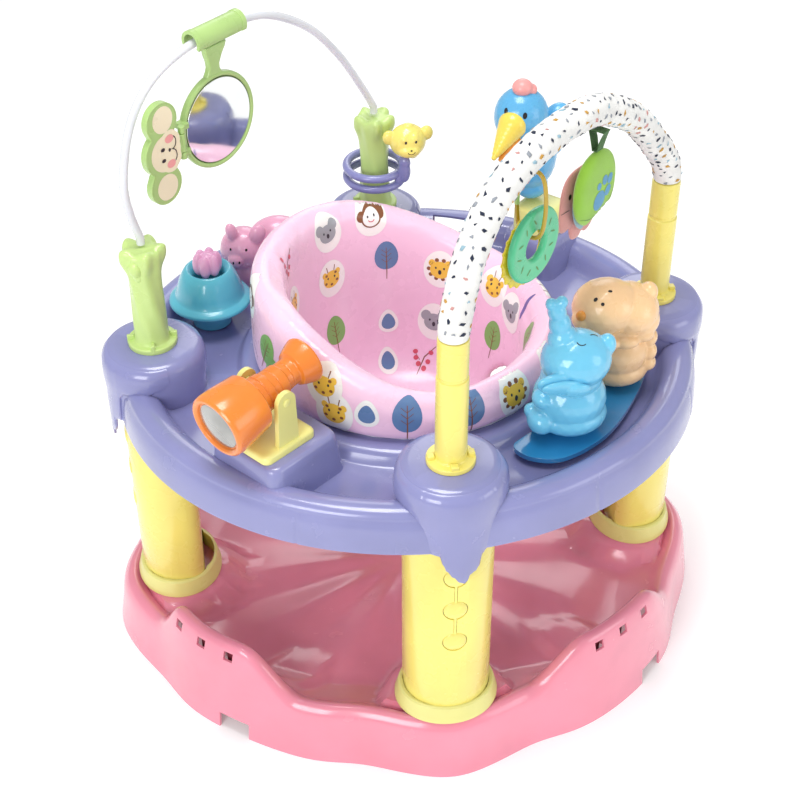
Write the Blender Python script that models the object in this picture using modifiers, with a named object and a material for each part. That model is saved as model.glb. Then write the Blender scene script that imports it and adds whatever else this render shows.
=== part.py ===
"""Activity jumper: a baby's bouncing activity centre with a turning seat.

World frame: metres, +Z up, origin on the floor under the middle of the base.
Four posts stand on the axes: front at -Y, right at +X, back at +Y, left at -X.
"""
import math

import bmesh
import bpy
from mathutils import Matrix, Vector

# ---------------------------------------------------------------- driving sizes
GAP = 0.0003                    # clearance between pieces that touch
POST_X = 0.300                  # side posts, distance from the middle
POST_Y = 0.267                  # front and back posts, distance from the middle
POSTS = {                       # name: (centre x, centre y, turn from the front post)
    "front": (0.0, -POST_Y, 0.0),
    "right": (POST_X, 0.0, math.pi / 2),
    "back": (0.0, POST_Y, math.pi),
    "left": (-POST_X, 0.0, -math.pi / 2),
}

# Base dish
BASE_HALF_X = 0.372
BASE_HALF_Y = 0.322
BASE_WALL = 0.003
FLOOR_Z = 0.050
BOSS_Z = 0.0785                 # top of the platforms that carry the posts
RIM_LOW = 0.078
RIM_HIGH = 0.135
RIM_RISE = (13.0, 25.0)         # degrees from a post between which the rim may climb
RIM_CREST = (9.0, 23.0)         # degrees from a middle vent between which the rim falls
NARROW_ANGLES = (-135.0, 45.0)  # quarters whose outline is drawn in
NARROW_DEPTH = 0.009
NARROW_SPREAD = 22.0
VENT_ANGLES = (-147.0, -48.0, 33.0, 132.0)      # middle vent of each quarter
VENT_STEP = 7.0
VENT_SIZE = 0.0125
VENT_Z = 0.1195
NOTCH_ANGLES = (-138.5, -38.0, 41.5, 142.0)
NOTCH_WIDTH = 0.042
NOTCH_HEIGHT = 0.024

# Leg posts
LEG_HALF_WIDTH = 0.0505
LEG_HALF_DEPTH = 0.0455
LEG_WALL = 0.003
LEG_TOP = 0.372
COLLAR_HALF_WIDTH = 0.0610
COLLAR_HALF_DEPTH = 0.0530
COLLAR_BOTTOM = 0.0790
COLLAR_TOP = 0.1010
BUTTON_RADIUS = 0.0135
BUTTON_HEIGHTS = (0.207, 0.256, 0.305)
BUTTON_SPINE = 0.0015           # half width of the link between buttons
COLUMN_BOTTOM = 0.150
COLUMN_TOP = 0.386

# Tray
TRAY_HALF_X = 0.346
TRAY_HALF_Y = 0.320
TRAY_BOTTOM = 0.352
TRAY_RIM = 0.4025
TRAY_TROUGH = 0.374
TRAY_HUB = 0.390
TRAY_HOLE = 0.160
TRAY_WALL = 0.003
TURRET_TOP = 0.434
TURRET_RADIUS = 0.0575
TURRET_BORE = 0.0545
TURRET_CEILING = 0.4290

# Seat
SEAT_OUTER = 0.184
SEAT_CREST = 0.168
SEAT_LOW = 0.446                # crest height at the front
SEAT_RISE = 0.070               # extra height of the back rest
SEAT_BACK_ANGLE = 157.0
LEG_HOLE_ANGLES = (-66.0, 6.0)
LEG_HOLE_RADIUS = 0.040
LEG_HOLE_OUT = 0.125            # middle of a leg hole, distance from the seat's axis
LEG_HOLE_Z = 0.285
LEG_HOLE_TILT = math.radians(115.0)

# Arches
STEM_BASE = TURRET_TOP + GAP
WIRE_RADIUS = 0.0048
SLEEVE_RADIUS = 0.0165
CORE_RADIUS = 0.0100
FRONT = POSTS["front"]
RIGHT = POSTS["right"]
BACK = POSTS["back"]
LEFT = POSTS["left"]
SPAN = math.hypot(POST_X, POST_Y)
WIRE_ROUTE = ((0.000, 0.5665), (0.000, 0.575), (-0.010, 0.610), (-0.013, 0.650), (0.003, 0.705),
              (0.035, 0.743), (0.085, 0.763), (0.150, 0.768), (0.215, 0.761), (0.285, 0.722),
              (0.338, 0.668), (0.378, 0.612), (SPAN, 0.575), (SPAN, 0.5665))
SLEEVE_ROUTE = ((0.000, 0.5930), (0.000, 0.598), (0.008, 0.631), (0.026, 0.677), (0.060, 0.718),
                (0.115, 0.743), (0.177, 0.751), (0.241, 0.743), (0.310, 0.706),
                (0.362, 0.656), (0.391, 0.622), (SPAN, 0.598), (SPAN, 0.5930))
POST_JOINT_Z = 0.5450           # groove between the two halves of an end post

# Toys on the arches (a span is the distance along the arch from its first post)
MIRROR_SPAN = 0.130
MIRROR_Z = 0.667
MIRROR_RADIUS = 0.056
CLIP_SPAN = 0.138
CLIP_LENGTH = 0.074
CLIP_RADIUS = 0.0130
CLIP_BORE = 0.0089
FLAP_HINGE_OUT = 0.0065         # hinge axis beyond the mirror's rim
FLAP_HINGE_FORWARD = 0.0095     # hinge axis in front of the mirror's middle plane
MONKEY_TURN = math.radians(-40.0)
MONKEY_REACH = 0.0500
LEAF_SPAN = 0.243
LINK_SPAN = 0.125
LINK_RADIUS = 0.0023
TAB_DROP = SLEEVE_RADIUS + 0.0045   # sleeve tab's eye below the arch's middle line
LEAF_DROP = 0.0940
RINGS_Z = 0.6400                # middle of the teether and bead rings

# Toys on the tray
PLATFORM_TOP = 0.424
TOY_PLATFORMS = {               # x, y, turn, side
    "telescope": (-0.176, -0.180, math.radians(38.0), 0.098),
    "perch": (0.206, 0.190, math.radians(45.0), 0.072),
}
HANDLE_OUTER = 0.292
HANDLE_INNER = 0.280
HANDLE_WINDOW = (0.360, 0.3965)     # grip opening through the skirt, low and high
TONGUE_STEPS = 8
SCOPE_TURN = math.radians(38.0)
SCOPE_CENTRE = (-0.184, -0.184)
SCOPE_PIVOT_Z = 0.4870
PLATE_TOP = 0.4340
POT = (-0.228, 0.118)
PIG = (-0.180, 0.190)
PIG_SIZE = 1.12
POND_TOP = TRAY_TROUGH + 0.0145
ELEPHANT = (0.151, -0.176)
LION = (0.224, -0.099)

COLOURS = {                     # linear RGB, roughness, metallic
    "pink_plastic": ((0.78, 0.22, 0.30), 0.25, 0.0),
    "yellow_plastic": ((0.93, 0.76, 0.22), 0.32, 0.0),
    "pale_yellow_plastic": ((0.80, 0.80, 0.36), 0.35, 0.0),
    "purple_plastic": ((0.27, 0.24, 0.58), 0.28, 0.0),
    "green_plastic": ((0.47, 0.74, 0.25), 0.35, 0.0),
    "white_plastic": ((0.86, 0.86, 0.87), 0.30, 0.0),
    "orange_plastic": ((0.90, 0.28, 0.03), 0.30, 0.0),
    "teal_plastic": ((0.10, 0.50, 0.62), 0.25, 0.0),
    "blue_plastic": ((0.05, 0.36, 0.68), 0.20, 0.0),
    "sky_plastic": ((0.16, 0.58, 0.82), 0.22, 0.0),
    "peach_plastic": ((0.90, 0.52, 0.27), 0.35, 0.0),
    "rose_plastic": ((0.85, 0.42, 0.56), 0.30, 0.0),
    "seat_fabric": ((0.84, 0.54, 0.70), 0.45, 0.0),
    "sleeve_fabric": ((0.84, 0.84, 0.82), 0.80, 0.0),
    "plush_fabric": ((0.30, 0.62, 0.08), 0.85, 0.0),
    "rose_fabric": ((0.80, 0.36, 0.44), 0.85, 0.0),
    "strap_fabric": ((0.04, 0.18, 0.10), 0.85, 0.0),
    "mirror_glass": ((0.80, 0.80, 0.80), 0.05, 1.0),
    "lens_glass": ((0.55, 0.58, 0.60), 0.12, 0.6),
    "spring_steel": ((0.55, 0.55, 0.56), 0.30, 1.0),
    "grey_plastic": ((0.50, 0.50, 0.52), 0.40, 0.0),
}


# ---------------------------------------------------------------- scene set-up
for old in list(bpy.data.objects):
    bpy.data.objects.remove(old, do_unlink=True)


def new_collection(name):
    """Make a collection and link it into the scene."""
    collection = bpy.data.collections.new(name)
    bpy.context.scene.collection.children.link(collection)
    return collection


PARTS = new_collection("activity_jumper")
CUTTERS = new_collection("cutters")


def material(name):
    """Return the Principled material of that name, made on first use."""
    found = bpy.data.materials.get(name)
    if found:
        return found
    colour, roughness, metallic = COLOURS[name]
    made = bpy.data.materials.new(name)
    made.use_nodes = True
    shader = made.node_tree.nodes["Principled BSDF"]
    shader.inputs["Base Color"].default_value = (*colour, 1.0)
    shader.inputs["Roughness"].default_value = roughness
    shader.inputs["Metallic"].default_value = metallic
    return made


# ---------------------------------------------------------------- object makers
def add_object(name, mesh, look, place=None):
    """Link a mesh or curve as an object, as a part or, with no look, as a cutter."""
    made = bpy.data.objects.new(name, mesh)
    if look is None:
        CUTTERS.objects.link(made)
        made.hide_render = True
        made.display_type = "WIRE"
    else:
        PARTS.objects.link(made)
        mesh.materials.append(material(look))
        if isinstance(mesh, bpy.types.Mesh):
            mesh.shade_smooth()
            mesh.set_sharp_from_angle(angle=math.radians(35))
    if place is not None:
        made.matrix_world = place
    return made


def at(x, y, z, turn=0.0):
    """Placement matrix: a point and a turn about Z."""
    return Matrix.Translation((x, y, z)) @ Matrix.Rotation(turn, 4, "Z")


def outward(mesh):
    """Weld the mesh and point every face out."""
    work = bmesh.new()
    work.from_mesh(mesh)
    bmesh.ops.remove_doubles(work, verts=work.verts, dist=1e-6)
    bmesh.ops.recalc_face_normals(work, faces=work.faces)
    work.to_mesh(mesh)
    work.free()
    return mesh


def loft(name, rings, look, place=None, looped=False):
    """Skin rings of equal point count; looped joins last to first, else ends are capped."""
    count = len(rings[0])
    verts = [point for ring in rings for point in ring]
    faces = []
    spans = len(rings) if looped else len(rings) - 1
    for row in range(spans):
        here = row * count
        there = ((row + 1) % len(rings)) * count
        for col in range(count):
            after = (col + 1) % count
            faces.append((here + col, here + after, there + after, there + col))
    if not looped:
        faces.append(tuple(range(count)))
        last = (len(rings) - 1) * count
        faces.append(tuple(last + col for col in range(count)))
    mesh = bpy.data.meshes.new(name)
    mesh.from_pydata(verts, [], faces)
    return add_object(name, outward(mesh), look, place)


def turned(name, profile, look, place=None, steps=32, looped=False):
    """Turn a profile of (radius, height), listed down its outer side, about Z."""
    mesh = bpy.data.meshes.new(name)
    verts = [(radius, 0.0, height) for radius, height in profile]
    edges = [(i, i + 1) for i in range(len(verts) - 1)]
    if looped:
        edges.append((len(verts) - 1, 0))
    mesh.from_pydata(verts, edges, [])
    made = add_object(name, mesh, look, place)
    screw = made.modifiers.new("Turn", "SCREW")
    screw.steps = steps
    screw.render_steps = steps
    screw.use_merge_vertices = True
    screw.merge_threshold = 0.00001
    screw.use_smooth_shade = True
    return made


def slab(name, outlines, thickness, look, place=None):
    """A flat piece from closed outlines (the first is the edge, the rest are holes)."""
    curve = bpy.data.curves.new(name, "CURVE")
    curve.dimensions = "2D"
    curve.fill_mode = "BOTH"
    curve.extrude = thickness / 2
    for outline in outlines:
        spline = curve.splines.new("POLY")
        spline.points.add(len(outline) - 1)
        for point, (x, y) in zip(spline.points, outline):
            point.co = (x, y, 0.0, 1.0)
        spline.use_cyclic_u = True
    holder = bpy.data.objects.new(name + "_outline", curve)
    CUTTERS.objects.link(holder)
    evaluated = holder.evaluated_get(bpy.context.evaluated_depsgraph_get())
    mesh = bpy.data.meshes.new_from_object(evaluated)
    bpy.data.objects.remove(holder, do_unlink=True)
    return add_object(name, outward(mesh), look, place)


def round_edges(made, width, segments=2, angle=40):
    """Round the sharp edges of an object."""
    modifier = made.modifiers.new("Round", "BEVEL")
    modifier.width = width
    modifier.segments = segments
    modifier.limit_method = "ANGLE"
    modifier.angle_limit = math.radians(angle)
    return made


def tube(name, points, radius, look, place=None, sides=2):
    """A round rod along points, with flat filled ends."""
    curve = bpy.data.curves.new(name, "CURVE")
    curve.dimensions = "3D"
    curve.bevel_depth = radius
    curve.bevel_resolution = sides
    curve.use_fill_caps = True
    curve.render_resolution_u = 0
    spline = curve.splines.new("POLY")
    spline.points.add(len(points) - 1)
    for target, point in zip(spline.points, points):
        target.co = (*point, 1.0)
    return add_object(name, curve, look, place)


def box(name, size, look, place=None, bevel=0.0):
    """A block centred on its own origin."""
    work = bmesh.new()
    bmesh.ops.create_cube(work, size=1.0, matrix=Matrix.Diagonal((*size, 1.0)))
    mesh = bpy.data.meshes.new(name)
    work.to_mesh(mesh)
    work.free()
    made = add_object(name, mesh, look, place)
    if bevel:
        round_edges(made, bevel)
    return made


def cylinder(name, radius, length, look, place=None, segments=24):
    """A round bar along its own Z, centred."""
    work = bmesh.new()
    bmesh.ops.create_cone(work, cap_ends=True, segments=segments,
                          radius1=radius, radius2=radius, depth=length)
    mesh = bpy.data.meshes.new(name)
    work.to_mesh(mesh)
    work.free()
    return add_object(name, mesh, look, place)


def ellipsoid(name, centre, radii, look=None, segments=12, rings=7):
    """A stretched ball round a centre."""
    shape = Matrix.Translation(centre) @ Matrix.Diagonal((*radii, 1.0))
    work = bmesh.new()
    bmesh.ops.create_uvsphere(work, u_segments=segments, v_segments=rings, radius=1.0,
                              matrix=shape)
    mesh = bpy.data.meshes.new(name)
    work.to_mesh(mesh)
    work.free()
    return add_object(name, mesh, look)


def cut(made, cutter):
    """Take the cutter's shape out of an object."""
    modifier = made.modifiers.new("Cut " + cutter.name, "BOOLEAN")
    modifier.operation = "DIFFERENCE"
    modifier.object = cutter


def join(made, other):
    """Add the other shape, a cutter object, to an object."""
    modifier = made.modifiers.new("Join " + other.name, "BOOLEAN")
    modifier.operation = "UNION"
    modifier.object = other


def figure(name, parts, look, place):
    """A toy figure: overlapping balls, each (centre, radii), joined in one body."""
    body = ellipsoid(name, parts[0][0], parts[0][1], look)
    body.matrix_world = place
    for index, (centre, radii) in enumerate(parts[1:]):
        lump = ellipsoid(f"{name}_lump_{index}", centre, radii, segments=8, rings=5)
        lump.matrix_world = place
        join(body, lump)
    return body


# ---------------------------------------------------------------- shape rules
def smooth_step(low, high, value):
    """0 below low, 1 above high, with level ends."""
    share = min(max((value - low) / (high - low), 0.0), 1.0)
    return share * share * (3 - 2 * share)


def post_offset(degrees):
    """Angle from the nearest post axis, 0 to 45 degrees."""
    return abs((degrees + 45.0) % 90.0 - 45.0)


def ellipse_radius(half_x, half_y, degrees):
    """Distance from the middle to an ellipse in a direction."""
    angle = math.radians(degrees)
    return half_x * half_y / math.hypot(half_y * math.cos(angle), half_x * math.sin(angle))


def angle_between(first, second):
    """The angle between two directions, 0 to 180 degrees."""
    return abs((first - second + 180.0) % 360.0 - 180.0)


def base_radius(degrees):
    """The base's foot outline: an ellipse with a lobe at each post and a dip beside it."""
    offset = post_offset(degrees)
    lobe = 0.012 * math.exp(-((offset / 9.0) ** 2))
    dip = 0.008 * math.exp(-(((offset - 20.0) / 8.0) ** 2))
    for narrow in NARROW_ANGLES:
        dip += NARROW_DEPTH * math.exp(-((angle_between(degrees, narrow) / NARROW_SPREAD) ** 2))
    return ellipse_radius(BASE_HALF_X, BASE_HALF_Y, degrees) + lobe - dip


def rim_height(degrees):
    """The base's wavy rim: low at the posts, with a crest over each row of vents."""
    nearest = min(angle_between(degrees, vent) for vent in VENT_ANGLES)
    share = smooth_step(*RIM_RISE, post_offset(degrees)) * (1.0 - smooth_step(*RIM_CREST, nearest))
    return RIM_LOW + (RIM_HIGH - RIM_LOW) * share


def offset_profile(points, distance):
    """Shift an open profile sideways, to the right of its direction of travel."""
    shifted = []
    for index, (radius, height) in enumerate(points):
        before = points[max(index - 1, 0)]
        after = points[min(index + 1, len(points) - 1)]
        along = Vector((after[0] - before[0], after[1] - before[1])).normalized()
        shifted.append((radius + along.y * distance, height - along.x * distance))
    return shifted


def polar(radius, degrees, height):
    """A point from its radius, direction and height."""
    angle = math.radians(degrees)
    return (radius * math.cos(angle), radius * math.sin(angle), height)


def smooth_path(points, steps):
    """Catmull-Rom curve through points, with steps pieces between neighbours."""
    path = []
    last = len(points) - 1
    for index in range(last):
        p0 = Vector(points[max(index - 1, 0)])
        p1 = Vector(points[index])
        p2 = Vector(points[index + 1])
        p3 = Vector(points[min(index + 2, last)])
        for step in range(steps):
            t = step / steps
            path.append(0.5 * ((2 * p1) + (p2 - p0) * t + (2 * p0 - 5 * p1 + 4 * p2 - p3) * t * t
                               + (3 * p1 - p0 - 3 * p2 + p3) * t ** 3))
    path.append(Vector(points[last]))
    return path


def arc(centre_x, centre_y, radius_x, radius_y, start, end, count):
    """Points along an ellipse's arc, in degrees."""
    points = []
    for index in range(count):
        angle = math.radians(start + (end - start) * index / (count - 1))
        points.append((centre_x + radius_x * math.cos(angle),
                       centre_y + radius_y * math.sin(angle)))
    return points


def leg_outline(grow=0.0):
    """The leg's D section, its round side towards -Y."""
    half = LEG_HALF_WIDTH + grow
    corner_x = 0.034
    corner_y = 0.010
    back = 0.031 + grow
    front = arc(0.0, 0.0, half, LEG_HALF_DEPTH + grow, 180.0, 360.0, 9)
    right = arc(corner_x, corner_y, half - corner_x, back - corner_y, 0.0, 90.0, 3)
    left = arc(-corner_x, corner_y, half - corner_x, back - corner_y, 90.0, 180.0, 3)
    return front + right + left


def button_outline(grow=0.0):
    """Three round buttons in a column, joined by a narrow spine; y is height."""
    radius = BUTTON_RADIUS + grow
    neck = math.degrees(math.asin((BUTTON_SPINE + grow) / radius))
    right = []
    last = len(BUTTON_HEIGHTS) - 1
    for index, height in enumerate(reversed(BUTTON_HEIGHTS)):
        start = 90.0 if index == 0 else 90.0 - neck
        end = -90.0 if index == last else neck - 90.0
        right += arc(0.0, height, radius, radius, start, end, 7)
    left = [(-x, y) for x, y in reversed(right[1:-1])]
    return right + left


# ---------------------------------------------------------------- base
def base_profile(degrees):
    """The base's upper skin at one direction, from the foot edge in to the middle."""
    edge = base_radius(degrees)
    rim = rim_height(degrees)
    flat = edge - 0.082
    return [
        (edge, 0.0), (edge - 0.004, 0.35 * rim), (edge - 0.009, 0.78 * rim),
        (edge - 0.015, rim - 0.005), (edge - 0.023, rim), (edge - 0.031, rim - 0.005),
        (edge - 0.040, rim - 0.45 * (rim - FLOOR_Z)), (edge - 0.058, FLOOR_Z + 0.008),
        (flat, FLOOR_Z), (0.55 * flat, FLOOR_Z), (0.12 * flat, FLOOR_Z),
    ]


def boss_height(x, y):
    """How far the platforms under the posts rise over a point of the floor, 0 to 1."""
    nearest = min(math.hypot(x - cx, y - cy) for cx, cy, _turn in POSTS.values())
    return 1.0 - smooth_step(0.062, 0.082, nearest)


def make_base():
    """The dish: one moulded shell with platforms, vents, foot notches and foot lugs."""
    directions = [index * 7.5 for index in range(48)]
    top = [base_profile(angle) for angle in directions]
    under = [offset_profile(profile, -BASE_WALL) for profile in top]
    rings = []
    for skins, order, drop in ((under, range(len(top[0]) - 1, -1, -1), BASE_WALL),
                               (top, range(len(top[0])), 0.0)):
        for row in order:
            ring = []
            for angle, skin in zip(directions, skins):
                radius, height = skin[row]
                x, y, _z = polar(radius, angle, height)
                if row == 0:
                    height = 0.0
                if row > 4:
                    lift = boss_height(x, y)
                    height += lift * max(BOSS_Z - drop - height, 0.0)
                ring.append((x, y, height))
            rings.append(ring)
    base = loft("base_dish", rings, "pink_plastic")

    for quarter, middle in enumerate(VENT_ANGLES):
        for step in (-1, 0, 1):
            angle = middle + step * VENT_STEP
            radius = base_radius(angle) - 0.007
            vent = box(f"vent_{quarter}_{step + 1}", (0.034, VENT_SIZE, VENT_SIZE), None,
                       Matrix.Translation(polar(radius, angle, VENT_Z))
                       @ Matrix.Rotation(math.radians(angle), 4, "Z"))
            cut(base, vent)
    for quarter, angle in enumerate(NOTCH_ANGLES):
        notch = box(f"notch_{quarter}", (0.030, NOTCH_WIDTH, 2 * NOTCH_HEIGHT), None,
                    Matrix.Translation(polar(base_radius(angle), angle, 0.0))
                    @ Matrix.Rotation(math.radians(angle), 4, "Z"))
        cut(base, notch)
        foot_frame = foot_place(angle)
        for side in (-1, 1):
            lug = box(f"lug_{quarter}_{side + 1}", (0.012, 0.004, 0.0155), None,
                      foot_frame @ Matrix.Translation((0.0, side * 0.0205, 0.00175)))
            join(base, lug)
        bore = cylinder(f"lug_bore_{quarter}", 0.0030, 0.060, None,
                        foot_frame @ Matrix.Rotation(math.pi / 2, 4, "X"), 16)
        cut(base, bore)
    return base


def foot_place(degrees):
    """Hinge frame of a stabiliser foot: X points outward, Y along its axle."""
    radius = base_radius(degrees) - 0.090
    return (Matrix.Translation(polar(radius, degrees, FLOOR_Z - 0.0105))
            @ Matrix.Rotation(math.radians(degrees), 4, "Z"))


def make_foot(quarter, degrees):
    """A fold-down stabiliser foot with stub axles."""
    frame = foot_place(degrees)
    foot = box(f"stabiliser_foot_{quarter + 1}", (0.044, 0.034, 0.0055), "pink_plastic",
               frame, 0.0)
    foot.data.transform(Matrix.Translation((0.0195, 0.0, 0.0)))
    axle = cylinder(f"foot_axle_{quarter}", 0.0026, 0.045, None,
                    frame @ Matrix.Rotation(math.pi / 2, 4, "X"), 16)
    join(foot, axle)


# ---------------------------------------------------------------- legs
def make_leg(name, x, y, turn):
    """One leg: post, flange collar, button strip, sliding column and its spring."""
    leg = slab(f"leg_post_{name}", [leg_outline(), leg_outline(-LEG_WALL)],
               LEG_TOP - BOSS_Z - GAP, "yellow_plastic",
               at(x, y, (LEG_TOP + BOSS_Z + GAP) / 2, turn))
    stand = Matrix.Rotation(math.pi / 2, 4, "X")
    hole = slab(f"button_hole_{name}", [button_outline(0.0004)], 0.012, None,
                at(x, y, 0.0, turn) @ Matrix.Translation((0.0, -0.044, 0.0)) @ stand)
    cut(leg, hole)

    slab(f"height_buttons_{name}", [button_outline()], 0.0030, "yellow_plastic",
         at(x, y, 0.0, turn) @ Matrix.Translation((0.0, -0.0440, 0.0)) @ stand)

    flange = [leg_outline(0.0004), arc(0.0, 0.0, COLLAR_HALF_WIDTH, COLLAR_HALF_DEPTH,
                                       0.0, 337.5, 16)]
    slab(f"leg_collar_{name}", [flange[1], flange[0]], COLLAR_TOP - COLLAR_BOTTOM,
         "pale_yellow_plastic", at(x, y, (COLLAR_TOP + COLLAR_BOTTOM) / 2, turn))

    outer = leg_outline(-LEG_WALL - 0.0006)
    inner = leg_outline(-LEG_WALL - 0.0032)
    heights = ((inner, COLUMN_TOP - 0.003), (inner, COLUMN_BOTTOM),
               (outer, COLUMN_BOTTOM), (outer, COLUMN_TOP))
    rings = [[(px, py, z) for px, py in outline] for outline, z in heights]
    column = loft(f"height_column_{name}", rings, "grey_plastic", at(x, y, 0.0, turn))
    slot = box(f"column_slot_{name}", (0.034, 0.020, 0.190), None,
               at(x, y, 0.0, turn) @ Matrix.Translation((0.0, -0.040, 0.2425)))
    cut(column, slot)

    coil = []
    turns = 3
    steps = 18
    for index in range(steps + 1):
        share = index / steps
        angle = 2 * math.pi * turns * share
        low = COLUMN_TOP + 0.0021
        high = TURRET_CEILING - 0.0021
        coil.append((0.026 * math.cos(angle), 0.026 * math.sin(angle),
                     low + (high - low) * share))
    tube(f"bounce_spring_{name}", coil, 0.0016, "spring_steel", at(x, y, 0.0, turn), 0)


# ---------------------------------------------------------------- tray
def tray_profile(degrees):
    """The tray's upper skin at one direction, from the skirt's foot in to the seat hole."""
    edge = ellipse_radius(TRAY_HALF_X, TRAY_HALF_Y, degrees)
    wall = edge - 0.046
    return [
        (edge, TRAY_BOTTOM), (edge - 0.005, 0.392), (edge - 0.013, TRAY_RIM),
        (edge - 0.030, TRAY_RIM), (edge - 0.040, 0.398), (wall, 0.384),
        (wall - 0.008, TRAY_TROUGH), (0.206, TRAY_TROUGH + 0.001), (0.190, TRAY_HUB),
        (TRAY_HOLE + 0.004, TRAY_HUB), (TRAY_HOLE, TRAY_HUB - 0.004), (TRAY_HOLE, 0.366),
    ]


def tongue_drop(offset):
    """How far the drip tongue hangs below the skirt, by sideways distance."""
    outline = ((-0.060, 0.0), (-0.034, 0.002), (-0.026, 0.008), (-0.020, 0.026),
               (-0.008, 0.036), (0.000, 0.041), (0.010, 0.042), (0.014, 0.032),
               (0.024, 0.020), (0.030, 0.006), (0.040, 0.001), (0.060, 0.0))
    for (x0, drop0), (x1, drop1) in zip(outline, outline[1:]):
        if x0 <= offset <= x1:
            return drop0 + (drop1 - drop0) * smooth_step(x0, x1, offset)
    return 0.0


def make_tongue(name, place):
    """The wavy drip of plastic that hangs over the leg from a turret."""
    rings = []
    for index in range(TONGUE_STEPS + 1):
        angle = math.radians(-90.0 - 38.0 + 76.0 * index / TONGUE_STEPS)
        outer = TURRET_RADIUS + 0.0008
        inner = TURRET_BORE + 0.0009
        foot = TRAY_BOTTOM - tongue_drop(outer * math.cos(angle)) - 0.0005
        rings.append([(radius * math.cos(angle), radius * math.sin(angle), z)
                      for radius, z in ((outer, TRAY_BOTTOM + 0.008), (outer, foot),
                                        (inner, foot), (inner, TRAY_BOTTOM + 0.008))])
    return loft(f"tongue_{name}", rings, None, place)


def make_tray():
    """The tray with its turrets, drip tongues, toy platforms and handle slot."""
    directions = [index * 10.0 for index in range(36)]
    top = [tray_profile(angle) for angle in directions]
    under = [offset_profile(profile, -TRAY_WALL) for profile in top]
    rings = []
    for skins, order in ((under, range(len(top[0]) - 1, -1, -1)), (top, range(len(top[0])))):
        for row in order:
            ring = []
            for angle, skin in zip(directions, skins):
                radius, height = skin[row]
                if row == 0:
                    height = TRAY_BOTTOM
                ring.append(polar(radius, angle, height))
            rings.append(ring)
    tray = loft("tray_shell", rings, "purple_plastic", looped=True)

    turret = [
        (0.0, TURRET_TOP), (0.042, TURRET_TOP), (0.0550, 0.4270), (0.0605, 0.4140),
        (0.0605, 0.4000), (TURRET_RADIUS, 0.3900), (TURRET_RADIUS, TRAY_BOTTOM - 0.0006),
        (TURRET_BORE, TRAY_BOTTOM - 0.0006), (TURRET_BORE, 0.4190),
        (0.0480, TURRET_CEILING), (0.0, TURRET_CEILING),
    ]
    for name, (x, y, turn) in POSTS.items():
        place = at(x, y, 0.0, turn)
        join(tray, turned(f"turret_{name}", turret, None, place, 16))
        join(tray, make_tongue(name, place))
    for name, (x, y, _turn) in POSTS.items():
        cut(tray, cylinder(f"turret_bore_{name}", TURRET_BORE - 0.0012, 0.088, None,
                           at(x, y, 0.374), 16))

    for name, (x, y, turn, size) in TOY_PLATFORMS.items():
        low = TRAY_TROUGH - 0.002
        block = box(f"platform_{name}", (size, size, PLATFORM_TOP - low), None,
                    at(x, y, (PLATFORM_TOP + low) / 2, turn), 0.006)
        join(tray, block)

    for part, inner, outer, low, high in (
            ("slot", HANDLE_INNER, HANDLE_OUTER, HANDLE_WINDOW[0], 0.4200),
            ("grip", HANDLE_OUTER - 0.001, 0.3600, *HANDLE_WINDOW)):
        outline = (arc(0.0, 0.0, outer, outer, 58.0, 74.0, 5)
                   + arc(0.0, 0.0, inner, inner, 74.0, 58.0, 5))
        cut(tray, slab(f"handle_{part}", [outline], high - low, None,
                       at(0.0, 0.0, (low + high) / 2)))
    return tray


def make_seat():
    """Padded bucket seat, the ring that it hangs on, and the ring that holds it down."""
    def crest(degrees):
        lean = math.cos(math.radians(degrees - SEAT_BACK_ANGLE))
        return SEAT_LOW + SEAT_RISE * smooth_step(-0.6, 1.0, lean)

    directions = [index * 11.25 for index in range(32)]
    rows = []
    for angle in directions:
        top = crest(angle)
        rows.append([
            (0.178, 0.3935), (SEAT_OUTER, 0.402), (SEAT_OUTER - 0.001, 0.5 * (0.402 + top)),
            (SEAT_OUTER - 0.006, top - 0.012), (SEAT_CREST, top), (SEAT_CREST - 0.014, top - 0.006),
            (SEAT_CREST - 0.021, top - 0.022), (0.142, 0.400), (0.132, 0.330), (0.112, 0.280),
            (0.080, 0.262), (0.030, 0.256),
            (0.030, 0.246), (0.084, 0.252), (0.120, 0.272), (0.141, 0.326), (0.1505, 0.384),
            (0.1550, 0.3935),
        ])
    inner_floor = 11
    rings = [[polar(row[index][0], angle, row[index][1])
              for angle, row in zip(directions, rows)] for index in range(len(rows[0]))]
    ordered = rings[inner_floor + 1:] + rings[:inner_floor + 1]
    pad = loft("seat_pad", ordered, "seat_fabric")
    for side, degrees in enumerate(LEG_HOLE_ANGLES):
        hole = cylinder(f"leg_hole_{side}", LEG_HOLE_RADIUS, 0.090, None,
                        Matrix.Translation(polar(LEG_HOLE_OUT, degrees, LEG_HOLE_Z))
                        @ Matrix.Rotation(math.radians(degrees), 4, "Z")
                        @ Matrix.Rotation(LEG_HOLE_TILT, 4, "Y"), 20)
        cut(pad, hole)

    turned("seat_ring", [(0.1755, 0.3932), (0.1755, 0.3903), (0.1582, 0.3903),
                         (0.1582, 0.3600), (0.1550, 0.3600), (0.1550, 0.3932)],
           "white_plastic", steps=32, looped=True)
    turned("retaining_ring", [(0.1740, 0.3655), (0.1740, 0.3625), (0.1600, 0.3625),
                              (0.1600, 0.3655)],
           "grey_plastic", steps=32, looped=True)


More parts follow.
